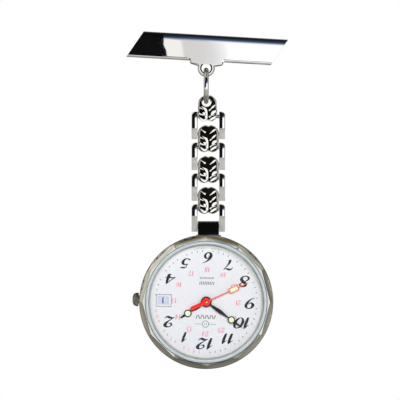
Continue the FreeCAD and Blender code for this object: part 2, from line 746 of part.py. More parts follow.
SINGLES = [
    brooch_bar, pin_hinge_bracket, pin_hinge_rivet, pin_stem, catch_body, catch_rotor, jump_ring,
    case_body, bezel, crystal, crystal_gasket, dial_ring, case_back, case_back_gasket,
    crown_tube, crown, crown_gasket, winding_stem, sliding_pinion, dial, date_ring,
    hour_hand, minute_hand, second_hand, main_plate, train_bridge, bridge_screws, movement_holder,
    circuit_board, quartz_can, ic_chip, coil_core, coil_winding, stator, battery, battery_strap,
    cannon_pinion, hour_wheel, minute_wheel, seconds_wheel, third_wheel, intermediate_wheel,
    rotor, date_driving_wheel,
]

for make in SINGLES:
    save(make.__name__, make())

for number in range(1, LINKS + 1):
    upper = FIRST_PIN - (number - 1) * PITCH
    lower = upper - BARS_SPAN
    hangs_from = upper + KNOT_SPAN if number > 1 else RING_Z - RING_R
    save("knot_link_" + str(number), knot_link(number, hangs_from, upper))
    bars = [side_bar(side, upper, lower) for side in (-1, 1)]
    save("side_bars_" + str(number), Part.makeCompound(bars))
    save("link_pins_" + str(number), Part.makeCompound([link_pin(upper), link_pin(lower)]))
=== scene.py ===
import math
import bmesh
import bpy
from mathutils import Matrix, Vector


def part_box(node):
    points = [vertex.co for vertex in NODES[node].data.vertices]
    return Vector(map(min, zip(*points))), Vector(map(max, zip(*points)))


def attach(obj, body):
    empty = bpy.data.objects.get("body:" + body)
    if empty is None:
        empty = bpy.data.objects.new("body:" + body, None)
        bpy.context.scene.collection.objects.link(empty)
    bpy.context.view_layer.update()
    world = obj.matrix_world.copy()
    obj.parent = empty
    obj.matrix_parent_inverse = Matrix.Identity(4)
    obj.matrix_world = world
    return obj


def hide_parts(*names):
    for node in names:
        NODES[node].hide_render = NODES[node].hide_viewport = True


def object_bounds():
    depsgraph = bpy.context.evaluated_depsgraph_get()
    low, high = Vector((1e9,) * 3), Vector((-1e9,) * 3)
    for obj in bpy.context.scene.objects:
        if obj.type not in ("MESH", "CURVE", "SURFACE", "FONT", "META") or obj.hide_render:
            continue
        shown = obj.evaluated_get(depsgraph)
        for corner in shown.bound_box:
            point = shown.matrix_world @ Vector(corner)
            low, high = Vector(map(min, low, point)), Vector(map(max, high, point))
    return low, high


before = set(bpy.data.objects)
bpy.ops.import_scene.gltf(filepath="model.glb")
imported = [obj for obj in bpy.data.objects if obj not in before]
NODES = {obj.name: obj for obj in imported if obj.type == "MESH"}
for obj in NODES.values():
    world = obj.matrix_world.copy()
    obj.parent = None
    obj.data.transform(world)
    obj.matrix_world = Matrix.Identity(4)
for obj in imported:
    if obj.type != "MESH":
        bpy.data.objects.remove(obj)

CAD_BOX = [list(corner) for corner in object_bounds()]
MM = 0.001


def box_mm(node):
    low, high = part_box(node)
    return [v / MM for v in low], [v / MM for v in high]


def middle(node):
    low, high = box_mm(node)
    return [(a + b) / 2 for a, b in zip(low, high)]


# ---- places, all from the frame, in millimetres ----

CASE_X, _, CASE_Z = middle("bezel")
CHAIN_Y = middle("jump_ring")[1]
_crown = middle("crown")
DIAL_TURN = math.atan2(_crown[2] - CASE_Z, _crown[0] - CASE_X)
BAR_TILT = math.radians(3.3)
DIAL_W = CHAIN_Y - box_mm("dial")[0][1]
GLASS_W = CHAIN_Y - box_mm("crystal")[0][1]
BEZEL_W = CHAIN_Y - box_mm("bezel")[0][1]
REAR_W = CHAIN_Y - box_mm("case_body")[1][1]
LINK_X = middle("side_bars_1")[0]
RING_X = middle("jump_ring")[0]


def in_case(x, y, w):
    """Case frame (right, up, forwards) to the row's frame, in metres."""
    return Vector(((CASE_X + x) * MM, (CHAIN_Y - w) * MM, (CASE_Z + y) * MM))


def in_dial(x, y, w):
    """Dial frame (3 right, 12 up, forwards) to the row's frame, in metres."""
    c = math.cos(DIAL_TURN)
    s = math.sin(DIAL_TURN)
    return in_case(x * c - y * s, x * s + y * c, w)


def on_bar(x, y, z):
    """Bar frame to the row's frame, in metres."""
    c = math.cos(BAR_TILT)
    s = math.sin(BAR_TILT)
    return Vector(((x * c + z * s) * MM, y * MM, (z * c - x * s) * MM))


def in_row(x, y, z):
    return Vector((x * MM, y * MM, z * MM))


# ---- mesh helpers ----

def new_object(name, data):
    item = bpy.data.objects.new(name, data)
    bpy.context.scene.collection.objects.link(item)
    return item


def finish_mesh(name, shape, materials, body, smooth=35, bevel=0.0, picks=None):
    """Make a piece from a shape (verts, faces); picks gives each face's material number."""
    verts, faces = shape
    mesh = bpy.data.meshes.new(name)
    mesh.from_pydata([tuple(v) for v in verts], [], faces)
    for material in materials:
        mesh.materials.append(material)
    if picks:
        mesh.polygons.foreach_set("material_index", picks)
    work = bmesh.new()
    work.from_mesh(mesh)
    bmesh.ops.recalc_face_normals(work, faces=work.faces)
    work.to_mesh(mesh)
    work.free()
    mesh.shade_smooth()
    if smooth < 180:
        mesh.set_sharp_from_angle(angle=math.radians(smooth))
    piece = new_object(name, mesh)
    if bevel:
        edge = piece.modifiers.new("soft_edges", "BEVEL")
        edge.width = bevel * MM
        edge.segments = 3
        edge.limit_method = "ANGLE"
        edge.angle_limit = math.radians(35)
        edge.harden_normals = True
    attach(piece, body)
    return piece


def put_parts(name, parts, material, body, smooth=40):
    """Make one piece from several (verts, faces)."""
    return finish_mesh(name, merge(parts), [material], body, smooth)


def circle(centre, r, count):
    """Points of a circle, counterclockwise from the right."""
    turns = [2 * math.pi * k / count for k in range(count)]
    return [(centre[0] + r * math.cos(a), centre[1] + r * math.sin(a)) for a in turns]


def grid_faces(rows, cols, wrap_rows=False):
    """Quads over a grid of points, row by row; each row is a closed loop."""
    faces = []
    for i in range(rows if wrap_rows else rows - 1):
        here = i * cols
        there = (i + 1) % rows * cols
        for j in range(cols):
            after = (j + 1) % cols
            faces.append((here + j, here + after, there + after, there + j))
    return faces


def revolved(profile, place, segments, closed=True):
    """Revolve (r, w) points; a closed profile ends where it starts."""
    verts = []
    for r, w in profile:
        verts += [place(x, y, w) for x, y in circle((0, 0), r, segments)]
    return verts, grid_faces(len(profile), segments, wrap_rows=closed)


def turned(profile, place, segments):
    """Revolve a profile that starts and ends next to the axis, and close both ends."""
    verts, faces = revolved(profile, place, segments, closed=False)
    last = len(verts) - segments
    return verts, faces + [tuple(range(segments)), tuple(range(last, len(verts)))]


def loft(loops):
    """Skin a row of closed loops with the same number of points, and close both ends."""
    count = len(loops[0])
    verts = [p for points in loops for p in points]
    faces = grid_faces(len(loops), count)
    faces.append(tuple(range(count))[::-1])
    faces.append(tuple(range(len(verts) - count, len(verts))))
    return verts, faces


def plate(points, w0, w1, place):
    """A flat plate with the given outline."""
    return loft([[place(x, y, w) for x, y in points] for w in (w0, w1)])


def merge(parts):
    """Join several (verts, faces) into one."""
    verts = []
    faces = []
    for v, f in parts:
        start = len(verts)
        verts.extend(v)
        faces.extend(tuple(i + start for i in face) for face in f)
    return verts, faces


# ---- materials ----

def feed(tree, node, inputs):
    """Link each input of a node to a socket, or give it a plain value."""
    for name, value in inputs.items():
        if isinstance(value, bpy.types.NodeSocket):
            tree.links.new(value, node.inputs[name])
        else:
            node.inputs[name].default_value = value
    return node


def add(tree, kind, inputs):
    """A new shader node with its inputs."""
    return feed(tree, tree.nodes.new("ShaderNode" + kind), inputs)


def new_material(name):
    material = bpy.data.materials.new(name)
    material.use_nodes = True
    return material, material.node_tree


def object_space(tree, scale=(1, 1, 1)):
    coords = add(tree, "TexCoord", {})
    return add(tree, "Mapping", {"Vector": coords.outputs["Object"], "Scale": scale}).outputs["Vector"]


def noise(tree, vector, scale, detail=3.0, rough=0.5):
    inputs = {"Vector": vector, "Scale": scale, "Detail": detail, "Roughness": rough}
    return add(tree, "TexNoise", inputs).outputs["Fac"]


def colours(tree, value, stops):
    """Colour ramp through (position, colour) stops."""
    node = add(tree, "ValToRGB", {"Fac": value})
    elements = node.color_ramp.elements
    while len(elements) < len(stops):
        elements.new(0.5)
    for element, (at, colour) in zip(elements, stops):
        element.position = at
        element.color = (*colour, 1)
    return node.outputs["Color"]


def ramp(tree, value, low, high):
    """Colour from low to high over the middle of a noise."""
    return colours(tree, value, [(0.3, low), (0.7, high)])


def between(tree, value, low, high):
    """Number from low to high over the middle of a noise."""
    inputs = {"Value": value, "From Min": 0.3, "From Max": 0.7, "To Min": low, "To Max": high}
    return add(tree, "MapRange", inputs).outputs["Result"]


def surface(name, low, high, cloud, fine, stretch, rough, spread, bump, inputs):
    """Two colours in a cloud, and a fine grain (scale, detail, roughness) in the roughness and the bump."""
    material, tree = new_material(name)
    grain = noise(tree, object_space(tree, stretch), *fine)
    inputs["Base Color"] = ramp(tree, noise(tree, object_space(tree), cloud), low, high)
    inputs["Roughness"] = between(tree, grain, rough * (1 - spread), rough * (1 + spread))
    if bump:
        node = add(tree, "Bump", {"Height": grain, "Strength": bump, "Distance": 0.02 * MM})
        inputs["Normal"] = node.outputs["Normal"]
    feed(tree, tree.nodes["Principled BSDF"], inputs)
    return material


def metal(name, low, high, rough, grain=9000.0, stretch=(1, 1, 1), bump=0.05):
    """Metal; stretch makes its grain run one way."""
    return surface(name, low, high, 320.0, (grain, 5.0, 0.6), stretch, rough, 0.3, bump, {"Metallic": 1.0})


def paint(name, low, high, rough, bump=0.04, coat=0.0, metallic=0.0, scale=600.0):
    """Paint, ink, plastic or rubber."""
    inputs = {"Metallic": metallic, "Coat Weight": coat, "Coat Roughness": 0.08}
    return surface(name, low, high, scale, (4000.0, 4.0, 0.5), (1, 1, 1), rough, 0.2, bump, inputs)


def glass(name, tint, edge_tint, frost=0.0):
    """Clear glass that reflects more at a flat angle; frost makes it milky."""
    material, tree = new_material(name)
    tree.nodes.clear()
    smear = noise(tree, object_space(tree), 260.0)
    body = add(tree, "BsdfTransparent", {"Color": ramp(tree, smear, tint, edge_tint)}).outputs["BSDF"]
    if frost:
        ground = add(tree, "BsdfDiffuse", {"Color": ramp(tree, smear, edge_tint, tint)})
        body = add(tree, "MixShader", {0: frost, 1: body, 2: ground.outputs["BSDF"]}).outputs["Shader"]
    gloss = add(tree, "BsdfGlossy", {"Roughness": 0.02})
    rim = add(tree, "LayerWeight", {"Blend": 0.5})
    levels = [(0.0, 0.005), (0.5, 0.025), (0.82, 0.16), (1.0, 0.7)]
    share = colours(tree, rim.outputs["Facing"], [(at, (level,) * 3) for at, level in levels])
    mix = add(tree, "MixShader", {0: share, 1: body, 2: gloss.outputs["BSDF"]})
    add(tree, "OutputMaterial", {"Surface": mix.outputs["Shader"]})
    return material


CHROME = metal("polished_chrome", (0.90, 0.90, 0.90), (0.93, 0.93, 0.93), 0.008, bump=0.0)
KNOT = metal("knot_polish", (0.88, 0.87, 0.86), (0.94, 0.93, 0.92), 0.03, bump=0.0)
# near-black copy of the knot metal: painted shade and painted reflection for the knots' cores and the wall of
# the lug's hole
KNOT_PAINTED_SHADE = metal("knot_recess", (0.004, 0.004, 0.004), (0.012, 0.011, 0.010), 0.16, bump=0.0)
MATTE = paint("matte_link", (0.50, 0.49, 0.46), (0.60, 0.59, 0.56), 0.42, metallic=0.35)
# dimmer copy of the knot metal for the cheeks: painted shade
KNOT_CHEEK_PAINTED_SHADE = metal("knot_cheek", (0.44, 0.435, 0.40), (0.54, 0.53, 0.49), 0.12, bump=0.0)
# dim olive copy of the knot metal for the core's bevel: painted shade on its rounded edge
KNOT_EDGE_PAINTED_SHADE = paint("knot_edge", (0.34, 0.33, 0.27), (0.42, 0.41, 0.34), 0.35, metallic=0.4)
CASE = metal("case_steel", (0.66, 0.64, 0.57), (0.74, 0.72, 0.65), 0.14, 5200.0, (1, 1, 0.12), 0.05)
CASE_DARK = metal("case_lug_polish", (0.66, 0.63, 0.56), (0.74, 0.71, 0.64), 0.05, bump=0.0)
# dark copy of the case steel for the bezel's chamfer next to the glass: painted shade in the gap
CASE_PAINTED_SHADE = metal("case_chamfer_painted_shade", (0.20, 0.195, 0.17), (0.28, 0.27, 0.24), 0.30, bump=0.0)
CROWN = metal("crown_steel", (0.44, 0.43, 0.37), (0.52, 0.51, 0.45), 0.30, 5200.0, (1, 1, 0.12), 0.1)
BACK = metal("case_back_satin", (0.58, 0.57, 0.54), (0.68, 0.67, 0.64), 0.28, 5200.0, (0.06, 1, 1), 0.12)
STEEL = metal("machined_steel", (0.55, 0.55, 0.57), (0.68, 0.68, 0.70), 0.22)
BRASS = metal("gear_brass", (0.78, 0.60, 0.27), (0.88, 0.72, 0.40), 0.20)
PLATE = metal("plate_finish", (0.68, 0.64, 0.52), (0.80, 0.77, 0.66), 0.30, 4200.0, (1, 1, 0.1))
COPPER = metal("coil_copper", (0.62, 0.25, 0.10), (0.80, 0.38, 0.18), 0.30, 9000.0, (0.05, 1, 1), 0.5)
IRON = metal("soft_iron", (0.40, 0.40, 0.42), (0.52, 0.52, 0.54), 0.38)
TIN = metal("drawn_can", (0.70, 0.70, 0.71), (0.80, 0.80, 0.81), 0.20)
CELL = metal("cell_steel", (0.66, 0.66, 0.65), (0.78, 0.78, 0.77), 0.26)
REHAUT = paint("rehaut_olive", (0.46, 0.47, 0.40), (0.54, 0.55, 0.48), 0.5)
LEDGE = paint("rim_white", (0.88, 0.89, 0.88), (0.93, 0.94, 0.93), 0.4)
GLASS = glass("watch_glass", (0.985, 0.99, 1.0), (0.995, 0.997, 1.0))
GLASS_EDGE = glass("glass_bevel", (0.70, 0.79, 0.86), (0.78, 0.86, 0.91), 0.75)
DIAL = paint("dial_white", (0.79, 0.785, 0.80), (0.83, 0.825, 0.84), 0.45, bump=0.08, scale=2500.0)
INK = paint("ink_black", (0.006, 0.006, 0.008), (0.020, 0.020, 0.024), 0.35)
INK_GREY = paint("ink_grey", (0.10, 0.10, 0.10), (0.17, 0.17, 0.16), 0.5)
INK_RED = paint("ink_rose", (0.78, 0.24, 0.32), (0.86, 0.32, 0.40), 0.45)
INK_DATE = paint("ink_navy", (0.010, 0.014, 0.035), (0.020, 0.026, 0.06), 0.4)
LUME = paint("lume_green", (0.76, 0.92, 0.56), (0.84, 0.96, 0.64), 0.6, bump=0.2)
LUME_DOT = paint("lume_dot", (0.76, 0.82, 0.46), (0.82, 0.87, 0.55), 0.6, bump=0.2)
BLACK = paint("hand_black", (0.004, 0.004, 0.005), (0.010, 0.010, 0.012), 0.25)
RED = paint("hand_red", (0.90, 0.010, 0.004), (0.97, 0.022, 0.008), 0.35)
ORANGE = paint("hand_orange", (0.95, 0.12, 0.03), (1.0, 0.17, 0.05), 0.35)
DATE = paint("date_disc", (0.62, 0.65, 0.80), (0.68, 0.71, 0.86), 0.5)
WHITE_PLASTIC = paint("white_plastic", (0.72, 0.72, 0.69), (0.80, 0.80, 0.77), 0.45)
CLEAR_PLASTIC = paint("gasket_white", (0.60, 0.70, 0.78), (0.70, 0.79, 0.87), 0.4)
RUBBER = paint("black_rubber", (0.015, 0.015, 0.015), (0.035, 0.035, 0.035), 0.7, bump=0.3)
BOARD = paint("board_green", (0.01, 0.13, 0.05), (0.02, 0.19, 0.08), 0.35, coat=0.3)
CHIP = paint("epoxy_black", (0.01, 0.01, 0.01), (0.03, 0.03, 0.03), 0.25)

# the look of the CAD nodes that stay as they are; finer pieces replace the others further down
PLAIN_NODES = [
    (STEEL, ["pin_hinge_bracket", "pin_hinge_rivet", "catch_body", "winding_stem", "sliding_pinion",
             "bridge_screws", "battery_strap"] + ["link_pins_%d" % n for n in range(1, 5)]),
    (CHROME, ["pin_stem", "catch_rotor"]),
    (BRASS, ["cannon_pinion", "hour_wheel", "minute_wheel", "seconds_wheel", "third_wheel",
             "intermediate_wheel"]),
    (IRON, ["coil_core", "stator", "rotor"]),
    (RUBBER, ["case_back_gasket", "crown_gasket"]),
    (PLATE, ["main_plate", "train_bridge"]),
    (WHITE_PLASTIC, ["movement_holder", "date_driving_wheel"]),
    (CLEAR_PLASTIC, ["crystal_gasket"]), (REHAUT, ["dial_ring"]), (BACK, ["case_back"]),
    (CASE, ["crown_tube"]), (DIAL, ["dial"]), (DATE, ["date_ring"]), (BOARD, ["circuit_board"]),
    (TIN, ["quartz_can"]), (CHIP, ["ic_chip"]), (COPPER, ["coil_winding"]), (CELL, ["battery"]),
]
for material, nodes in PLAIN_NODES:
    for node in nodes:
        mesh = NODES[node].data
        mesh.materials.clear()
        mesh.materials.append(material)


# ---- brooch bar ----

# half the bar's height, and the lug's centre below the bar's middle
BAR_HALF = 3.05
LUG_Z = -4.6


def bar_section(face, back):
    """Section (y, z) of the bar: a front that leans back above its bend, a rounded lower lip, a flat back."""
    bend = 1.34
    step = 0.04
    front = []
    y = face
    z = -2.42
    while z < BAR_HALF - 0.13:
        front.append((y, z))
        slope = 0.010 * max(0.0, (z + 2.4) / 4)
        if z > bend:
            slope += 0.36 * ((z - bend) / (BAR_HALF - bend)) ** (1.25 if z > bend + 0.25 else 1.1)
        z += step
        y += slope * step
    front.reverse()
    lip = [(face - 0.014, -2.47), (face - 0.016, -2.55), (face + 0.02, -2.72), (face + 0.10, -2.94)]
    rear = [(face + 0.22, -BAR_HALF), (back, -BAR_HALF), (back, BAR_HALF), (front[0][0] + 0.13, BAR_HALF)]
    return front + lip + rear


def make_bar(face, back):
    """The slanted bar; its lower lip is flat in the middle, where the tab goes on flush."""
    length = 33.5
    slant = 3.7
    stations = 134
    flush = 4.1
    section = bar_section(face, back)
    loops = []
    for i in range(stations + 1):
        loop = []
        for y, z in section:
            x = -length / 2 + length * i / stations + slant * z / (2 * BAR_HALF)
            if z < -2.45 and y < face + 0.3 and abs(x) < flush:
                y = face
            loop.append(on_bar(x, y, z))
        loops.append(loop)
    bar = finish_mesh("bar_shell", loft(loops), [CHROME], "brooch", 16, 0.05)
    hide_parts("brooch_bar")


def make_lug(face, back):
    """The stepped tab and its round lug in one plate, with a pad in front that is flush with the bar."""
    lug_r = 2.0
    hole_r = 1.1
    rim = 0.30
    front = 2 * CHAIN_Y - back
    side = [(3.9, -2.5), (3.9, -3.25)]
    for k in range(1, 6):
        a = math.radians(18 * k)
        side.append((3.4 + 0.5 * math.cos(a), -3.25 - 0.6 * math.sin(a)))
    side.append((2.3, -4.12))
    for k in range(25):
        a = math.radians(12 - 102 * k / 24)
        side.append((lug_r * math.cos(a), LUG_Z + lug_r * math.sin(a)))
    outer = [(-x, z) for x, z in side] + [(x, z) for x, z in reversed(side[:-1])]
    inset = inset_outline(outer, rim)
    hole = circle((0, LUG_Z), hole_r, 48)
    wide = circle((0, LUG_Z), hole_r + rim, 48)
    body = holed_plate([(back, inset, wide), (back - rim, outer, hole), (front + rim, outer, hole),
                        (front, inset, wide)], on_bar)
    left = [(-3.6, -2.5), (-3.6, -3.2), (-3.3, -3.55), (-1.9, -3.72)]
    pad = left + [(-x, z) for x, z in reversed(left)]
    pad_mesh = loft([[on_bar(x, y, z) for x, z in pad] for y in (face + 0.012, front + 0.1)])
    verts, faces = merge([body, pad_mesh])
    # the wall of the lug's hole takes the near-black knot metal: painted shade and reflection in the hole
    picks = [0] * (3 * len(outer)) + [1] * (3 * len(hole))
    picks += [0] * (len(faces) - len(picks))
    finish_mesh("bar_lug", (verts, faces), [CHROME, KNOT_PAINTED_SHADE], "brooch", 28, 0.04, picks)


def inset_outline(points, amount):
    """Move each point of a counterclockwise outline inwards."""
    out = []
    for i, (x, z) in enumerate(points):
        ax, az = points[i - 1]
        bx, bz = points[(i + 1) % len(points)]
        n1 = Vector((-(z - az), x - ax)).normalized()
        n2 = Vector((-(bz - z), bx - x)).normalized()
        n = n1 + n2
        n *= amount * min(1.6, 2 / max(0.2, n.length_squared))
        out.append((x + n.x, z + n.y))
    return out


def holed_plate(levels, place):
    """A closed plate with one hole; each level is (y, outline in x and z, outline of the hole)."""
    work = bmesh.new()
    outside = []
    inside = []
    for y, outline, hole in levels:
        outside.append([work.verts.new(place(x, y, z)) for x, z in outline])
        inside.append([work.verts.new(place(x, y, z)) for x, z in hole])
    for chain in (outside, inside):
        for a, b in zip(chain, chain[1:]):
            for i in range(len(a)):
                j = (i + 1) % len(a)
                work.faces.new((a[i], a[j], b[j], b[i]))
    for level in (0, -1):
        edges = []
        for points in (outside[level], inside[level]):
            for i in range(len(points)):
                edges.append(work.edges.get((points[i], points[(i + 1) % len(points)])))
        bmesh.ops.triangle_fill(work, use_beauty=True, use_dissolve=False, edges=edges)
    work.verts.index_update()
    verts = [v.co.copy() for v in work.verts]
    faces = [tuple(v.index for v in f.verts) for f in work.faces]
    work.free()
    return verts, faces


BAR_FACE = box_mm("brooch_bar")[0][1] + 0.03
BAR_REAR = box_mm("brooch_bar")[1][1]
make_bar(BAR_FACE, BAR_REAR)
make_lug(BAR_FACE, BAR_REAR)


# ---- jump ring ----

def make_ring():
    x0, y0, z0 = middle("jump_ring")
    low, high = box_mm("jump_ring")
    wire = (high[0] - low[0]) / 2
    mean = (high[2] - low[2]) / 2 - wire
    turns = 128
    around_wire = 32
    verts = []
    for i in range(turns):
        a = 2 * math.pi * i / turns
        for r, x in circle((mean, x0), wire, around_wire):
            verts.append(in_row(x, y0 + r * math.sin(a), z0 + r * math.cos(a)))
    ring = finish_mesh("ring_wire", (verts, grid_faces(turns, around_wire, wrap_rows=True)), [CHROME],
                       "ring", 180)
    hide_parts("jump_ring")


make_ring()


# ---- side bars ----

# front of a bar from its inner to its outer edge: (part of the width, part of the bulge)
BAR_SECTION = [(0, 0), (0.015, 0.20), (0.03, 0.34), (0.06, 0.46), (0.13, 0.64), (0.24, 0.82), (0.36, 0.93),
               (0.44, 0.975), (0.49, 0.99), (0.54, 1), (0.82, 1), (0.86, 0.95), (0.91, 0.74), (0.96, 0.42),
               (1, 0.1)]
MATTE_SECTION = [(0, 0), (0.02, 0.4), (0.05, 0.7), (0.09, 0.9), (0.20, 1), (0.32, 1), (0.44, 1), (0.52, 1),
                 (0.57, 1), (0.62, 1), (0.82, 1), (0.88, 1), (0.93, 0.9), (0.97, 0.6), (1, 0)]
# width of one bar, and the radius of its outer top corner
BAR_WIDTH = 1.37
BAR_ROUND = 0.85


def bar_levels(bottom, step, top):
    """Heights along a side bar: matte part, step, polished part, rounded top."""
    low = bottom + 0.12
    high = step + 0.3
    corner = top - BAR_ROUND
    levels = [bottom, low] + [low + (step - low) * k / 6 for k in range(1, 6)]
    levels += [step - 0.24, step, step + 0.08, high]
    levels += [high + (corner - high) * k / 12 for k in range(1, 13)]
    return levels + [corner + BAR_ROUND * math.sin(math.radians(a)) for a in (12, 24, 36, 48, 60, 72, 82, 88)]


def bar_loop(z, low, high, step, side):
    """Points around one side bar at height z; low and high are the box of its pair."""
    polished = z > step + 0.05
    top = high[2]
    drop = max(0.0, z - (top - BAR_ROUND))
    x1 = (high[0] - low[0]) / 2
    x0 = x1 - BAR_WIDTH
    x1 -= BAR_ROUND - math.sqrt(max(0.0, BAR_ROUND ** 2 - drop ** 2))
    edge = (high[1] - low[1]) / 2 - (0.29 if polished else 0.20)
    bulge = 0.28 if polished else 0.05
    if polished:
        edge -= 0.34 * max(0.0, (z - top + 1.7) / 1.7) ** 2
    elif z > step - 0.01:
        edge -= 0.10
    if z == low[2]:
        x1 -= 0.08
        x0 += 0.08
        edge -= 0.08
    section = BAR_SECTION if polished else MATTE_SECTION
    if side < 0:
        section = [(1 - t, h) for t, h in reversed(section)]
    loop = []
    for t, h in section:
        loop.append(in_row(LINK_X + side * (x0 + (x1 - x0) * t), CHAIN_Y - edge - bulge * h, z))
    for k in range(15):
        u = 1 - 2 * k / 14
        x = (x0 + x1) / 2 + (x1 - x0) / 2 * u
        loop.append(in_row(LINK_X + side * x, CHAIN_Y + edge + bulge * 0.6 * (1 - u * u), z))
    return loop


def make_side_bars():
    """Four pairs of bars, each with a raised polished part over a matte part."""
    for number in range(1, 5):
        low, high = box_mm("side_bars_%d" % number)
        step = high[2] - (0.68 - 0.06 * number) * (high[2] - low[2])
        levels = bar_levels(low[2], step, high[2])
        parts = []
        picks = []
        for side in (-1, 1):
            loops = [bar_loop(z, low, high, step, side) for z in levels]
            parts.append(loft(loops))
            for z in levels[1:]:
                picks += [0 if z > step + 0.05 else 1] * len(loops[0])
            picks += [1, 0]
        bars = finish_mesh("side_bar_shells_%d" % number, merge(parts), [CHROME, MATTE],
                           "bars_%d" % number, 32, 0.05, picks)
        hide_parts("side_bars_%d" % number)


make_side_bars()


# ---- watch case ----

def arc_points(cx, cy, r, start, end, count):
    points = []
    for k in range(count + 1):
        a = math.radians(start + (end - start) * k / count)
        points.append((cx + r * math.cos(a), cy + r * math.sin(a)))
    return points


def make_case():
    """The turned case, with a pale ledge and olive walls round its mouth."""
    outer = 15.5
    round_r = 3.4
    steps = 240
    front = BEZEL_W - 1.5
    profile = [(13.2, front), (13.42, front), (13.92, front), (15.16, front), (15.32, front - 0.06),
               (15.44, front - 0.2), (outer, front - 0.45), (outer, front - 1.4)]
    profile += arc_points(outer - round_r, front - 1.9, round_r, 0, -52, 14)
    profile += [(14.35, REAR_W + 0.05), (14.2, REAR_W), (13.9, REAR_W), (13.9, REAR_W + 0.9),
                (13.2, REAR_W + 0.9)]
    verts, faces = revolved(profile, in_case, steps)
    rows = {0: 2, 1: 1, len(profile) - 1: 2}
    picks = [rows.get(i // steps, 0) for i in range(len(faces))]
    shell = finish_mesh("case_shell", (verts, faces), [CASE, LEDGE, REHAUT], "watch", 32,
                        picks=picks)
    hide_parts("case_body")


def across_lug(section, xs):
    """Carry a (w, y) section across the lug of the case."""
    return loft([[in_case(x + LINK_X - CASE_X, y, w) for w, y in section] for x in xs])


def make_case_lug():
    """The block that holds the last link pin, on a low pad."""
    eye = box_mm("case_body")[1][2] - CASE_Z - 1.25
    half = 2.46
    section = [(-1.0, 14.55), (-1.0, eye - 0.6), (-1.25, eye), (-1.18, eye + 0.5), (-0.8, eye + 0.98),
               (-0.2, eye + 1.2), (0.35, eye + 1.25), (0.72, eye + 1.2), (0.92, eye + 1.05),
               (0.996, eye + 0.95), (1.183, 17.80), (1.76, 16.1), (2.0, 15.4), (2.0, 14.55)]
    block = across_lug(section, (-half, -half / 3, half / 3, half))
    finish_mesh("case_lug", block, [CASE_DARK], "watch", 30, 0.07)
    pad = [(-1.5, 14.55), (-1.5, 15.2), (-1.2, 15.46), (2.0, 15.46), (2.3, 15.2), (2.3, 14.55)]
    finish_mesh("case_pad", across_lug(pad, (-2.9, 0, 2.9)), [CASE], "watch", 40, 0.1)


make_case()
make_case_lug()


def make_bezel():
    """A round bezel whose front chamfer is cut in twelve flats; its narrow lip leans differently on each."""
    front = BEZEL_W
    outer = 15.27
    flat = 14.2
    bore = 13.95
    lip = 0.12
    wedge = math.radians(30)
    leans = [-1, 1, 2, 8, 18, 23, 23, -2, -2, -3, -3, -1]
    levels = [front] + [front - 0.14 - 1.36 * k / 24 for k in range(25)]

    def facet_radius(w, a):
        drop = max(0.0, front - w - lip)
        across = flat + 0.95 * drop + 0.36 * drop ** 2
        return across / math.cos((a % wedge) - wedge / 2)

    def lean(a):
        """Outward lean of the lip in radians, clockwise from the top, with a short change at each corner."""
        at = ((90 - math.degrees(a)) % 360) / 30
        t = min(1.0, (at % 1) / 0.03)
        near = leans[int(at) % 12]
        return math.radians(near + (leans[int(at) % 12 - 1] - near) * (1 - t))

    def column(a):
        """Points (r, w) at angle a, up the bore, over the lip and down the chamfer."""
        reach = front + math.tan(lean(a)) * (facet_radius(front, a) - bore)
        points = [(bore, front - 1.5), (bore, reach - 0.50), (bore + 0.16, reach - lip)]
        return points + [(min(outer, facet_radius(w, a)), min(w, front - lip)) for w in levels]

    segments = 360
    turns = [2 * math.pi * k / segments for k in range(segments)]
    verts = []
    for row in zip(*[column(a) for a in turns]):
        verts += [in_case(r * math.cos(a), r * math.sin(a), w) for a, (r, w) in zip(turns, row)]
    faces = grid_faces(len(levels) + 3, segments, wrap_rows=True)
    # the chamfer at the bore, next to the glass, takes the dark copy of the steel: painted shade
    picks = [1 if i // segments == 1 else 0 for i in range(len(faces))]
    bezel = finish_mesh("bezel_ring", (verts, faces), [CASE, CASE_PAINTED_SHADE], "watch", 14,
                        picks=picks)
    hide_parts("bezel")


make_bezel()


def make_crown():
    """A small domed crown with a fluted edge, on the 3 o'clock axis."""
    depth = -0.05
    count = 144
    dome = [(0.001, 17.1), (0.55, 17.07), (0.95, 16.97), (1.25, 16.80), (1.46, 16.52), (1.57, 16.2),
            (1.6, 15.95), (1.56, 15.75), (1.4, 15.65), (0.4, 15.65)]
    verts = []
    for r, along in dome:
        for k in range(count):
            a = 2 * math.pi * k / count
            flute = 0.07 * max(0.0, math.cos(24 * a)) if 15.7 < along < 16.6 else 0.0
            verts.append(in_dial(along, (r - flute) * math.cos(a), depth + (r - flute) * math.sin(a)))
    faces = grid_faces(len(dome), count)
    faces += [tuple(range(count)), tuple(range(len(verts) - count, len(verts)))]
    cap = finish_mesh("crown_cap", (verts, faces), [CROWN], "crown_knob", 50)
    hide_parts("crown")


make_crown()


def make_glass():
    """Flat glass with a bevelled edge."""
    back = GLASS_W - 1.35
    rim = 13.8
    flat = 13.42
    count = 192
    profile = [(0.001, back), (rim, back), (rim, GLASS_W - 0.35), (flat, GLASS_W), (0.001, GLASS_W)]
    verts, faces = turned(profile, in_case, count)
    picks = [1 if i // count in (1, 2) else 0 for i in range(len(faces))]
    crystal = finish_mesh("crystal_glass", (verts, faces), [GLASS, GLASS_EDGE], "watch",
                          20, picks=picks)
    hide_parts("crystal")


make_glass()


# ---- pen strokes, for numerals and knots ----

# numerals in a box of height 1: strokes of (right, up, width of the pen)

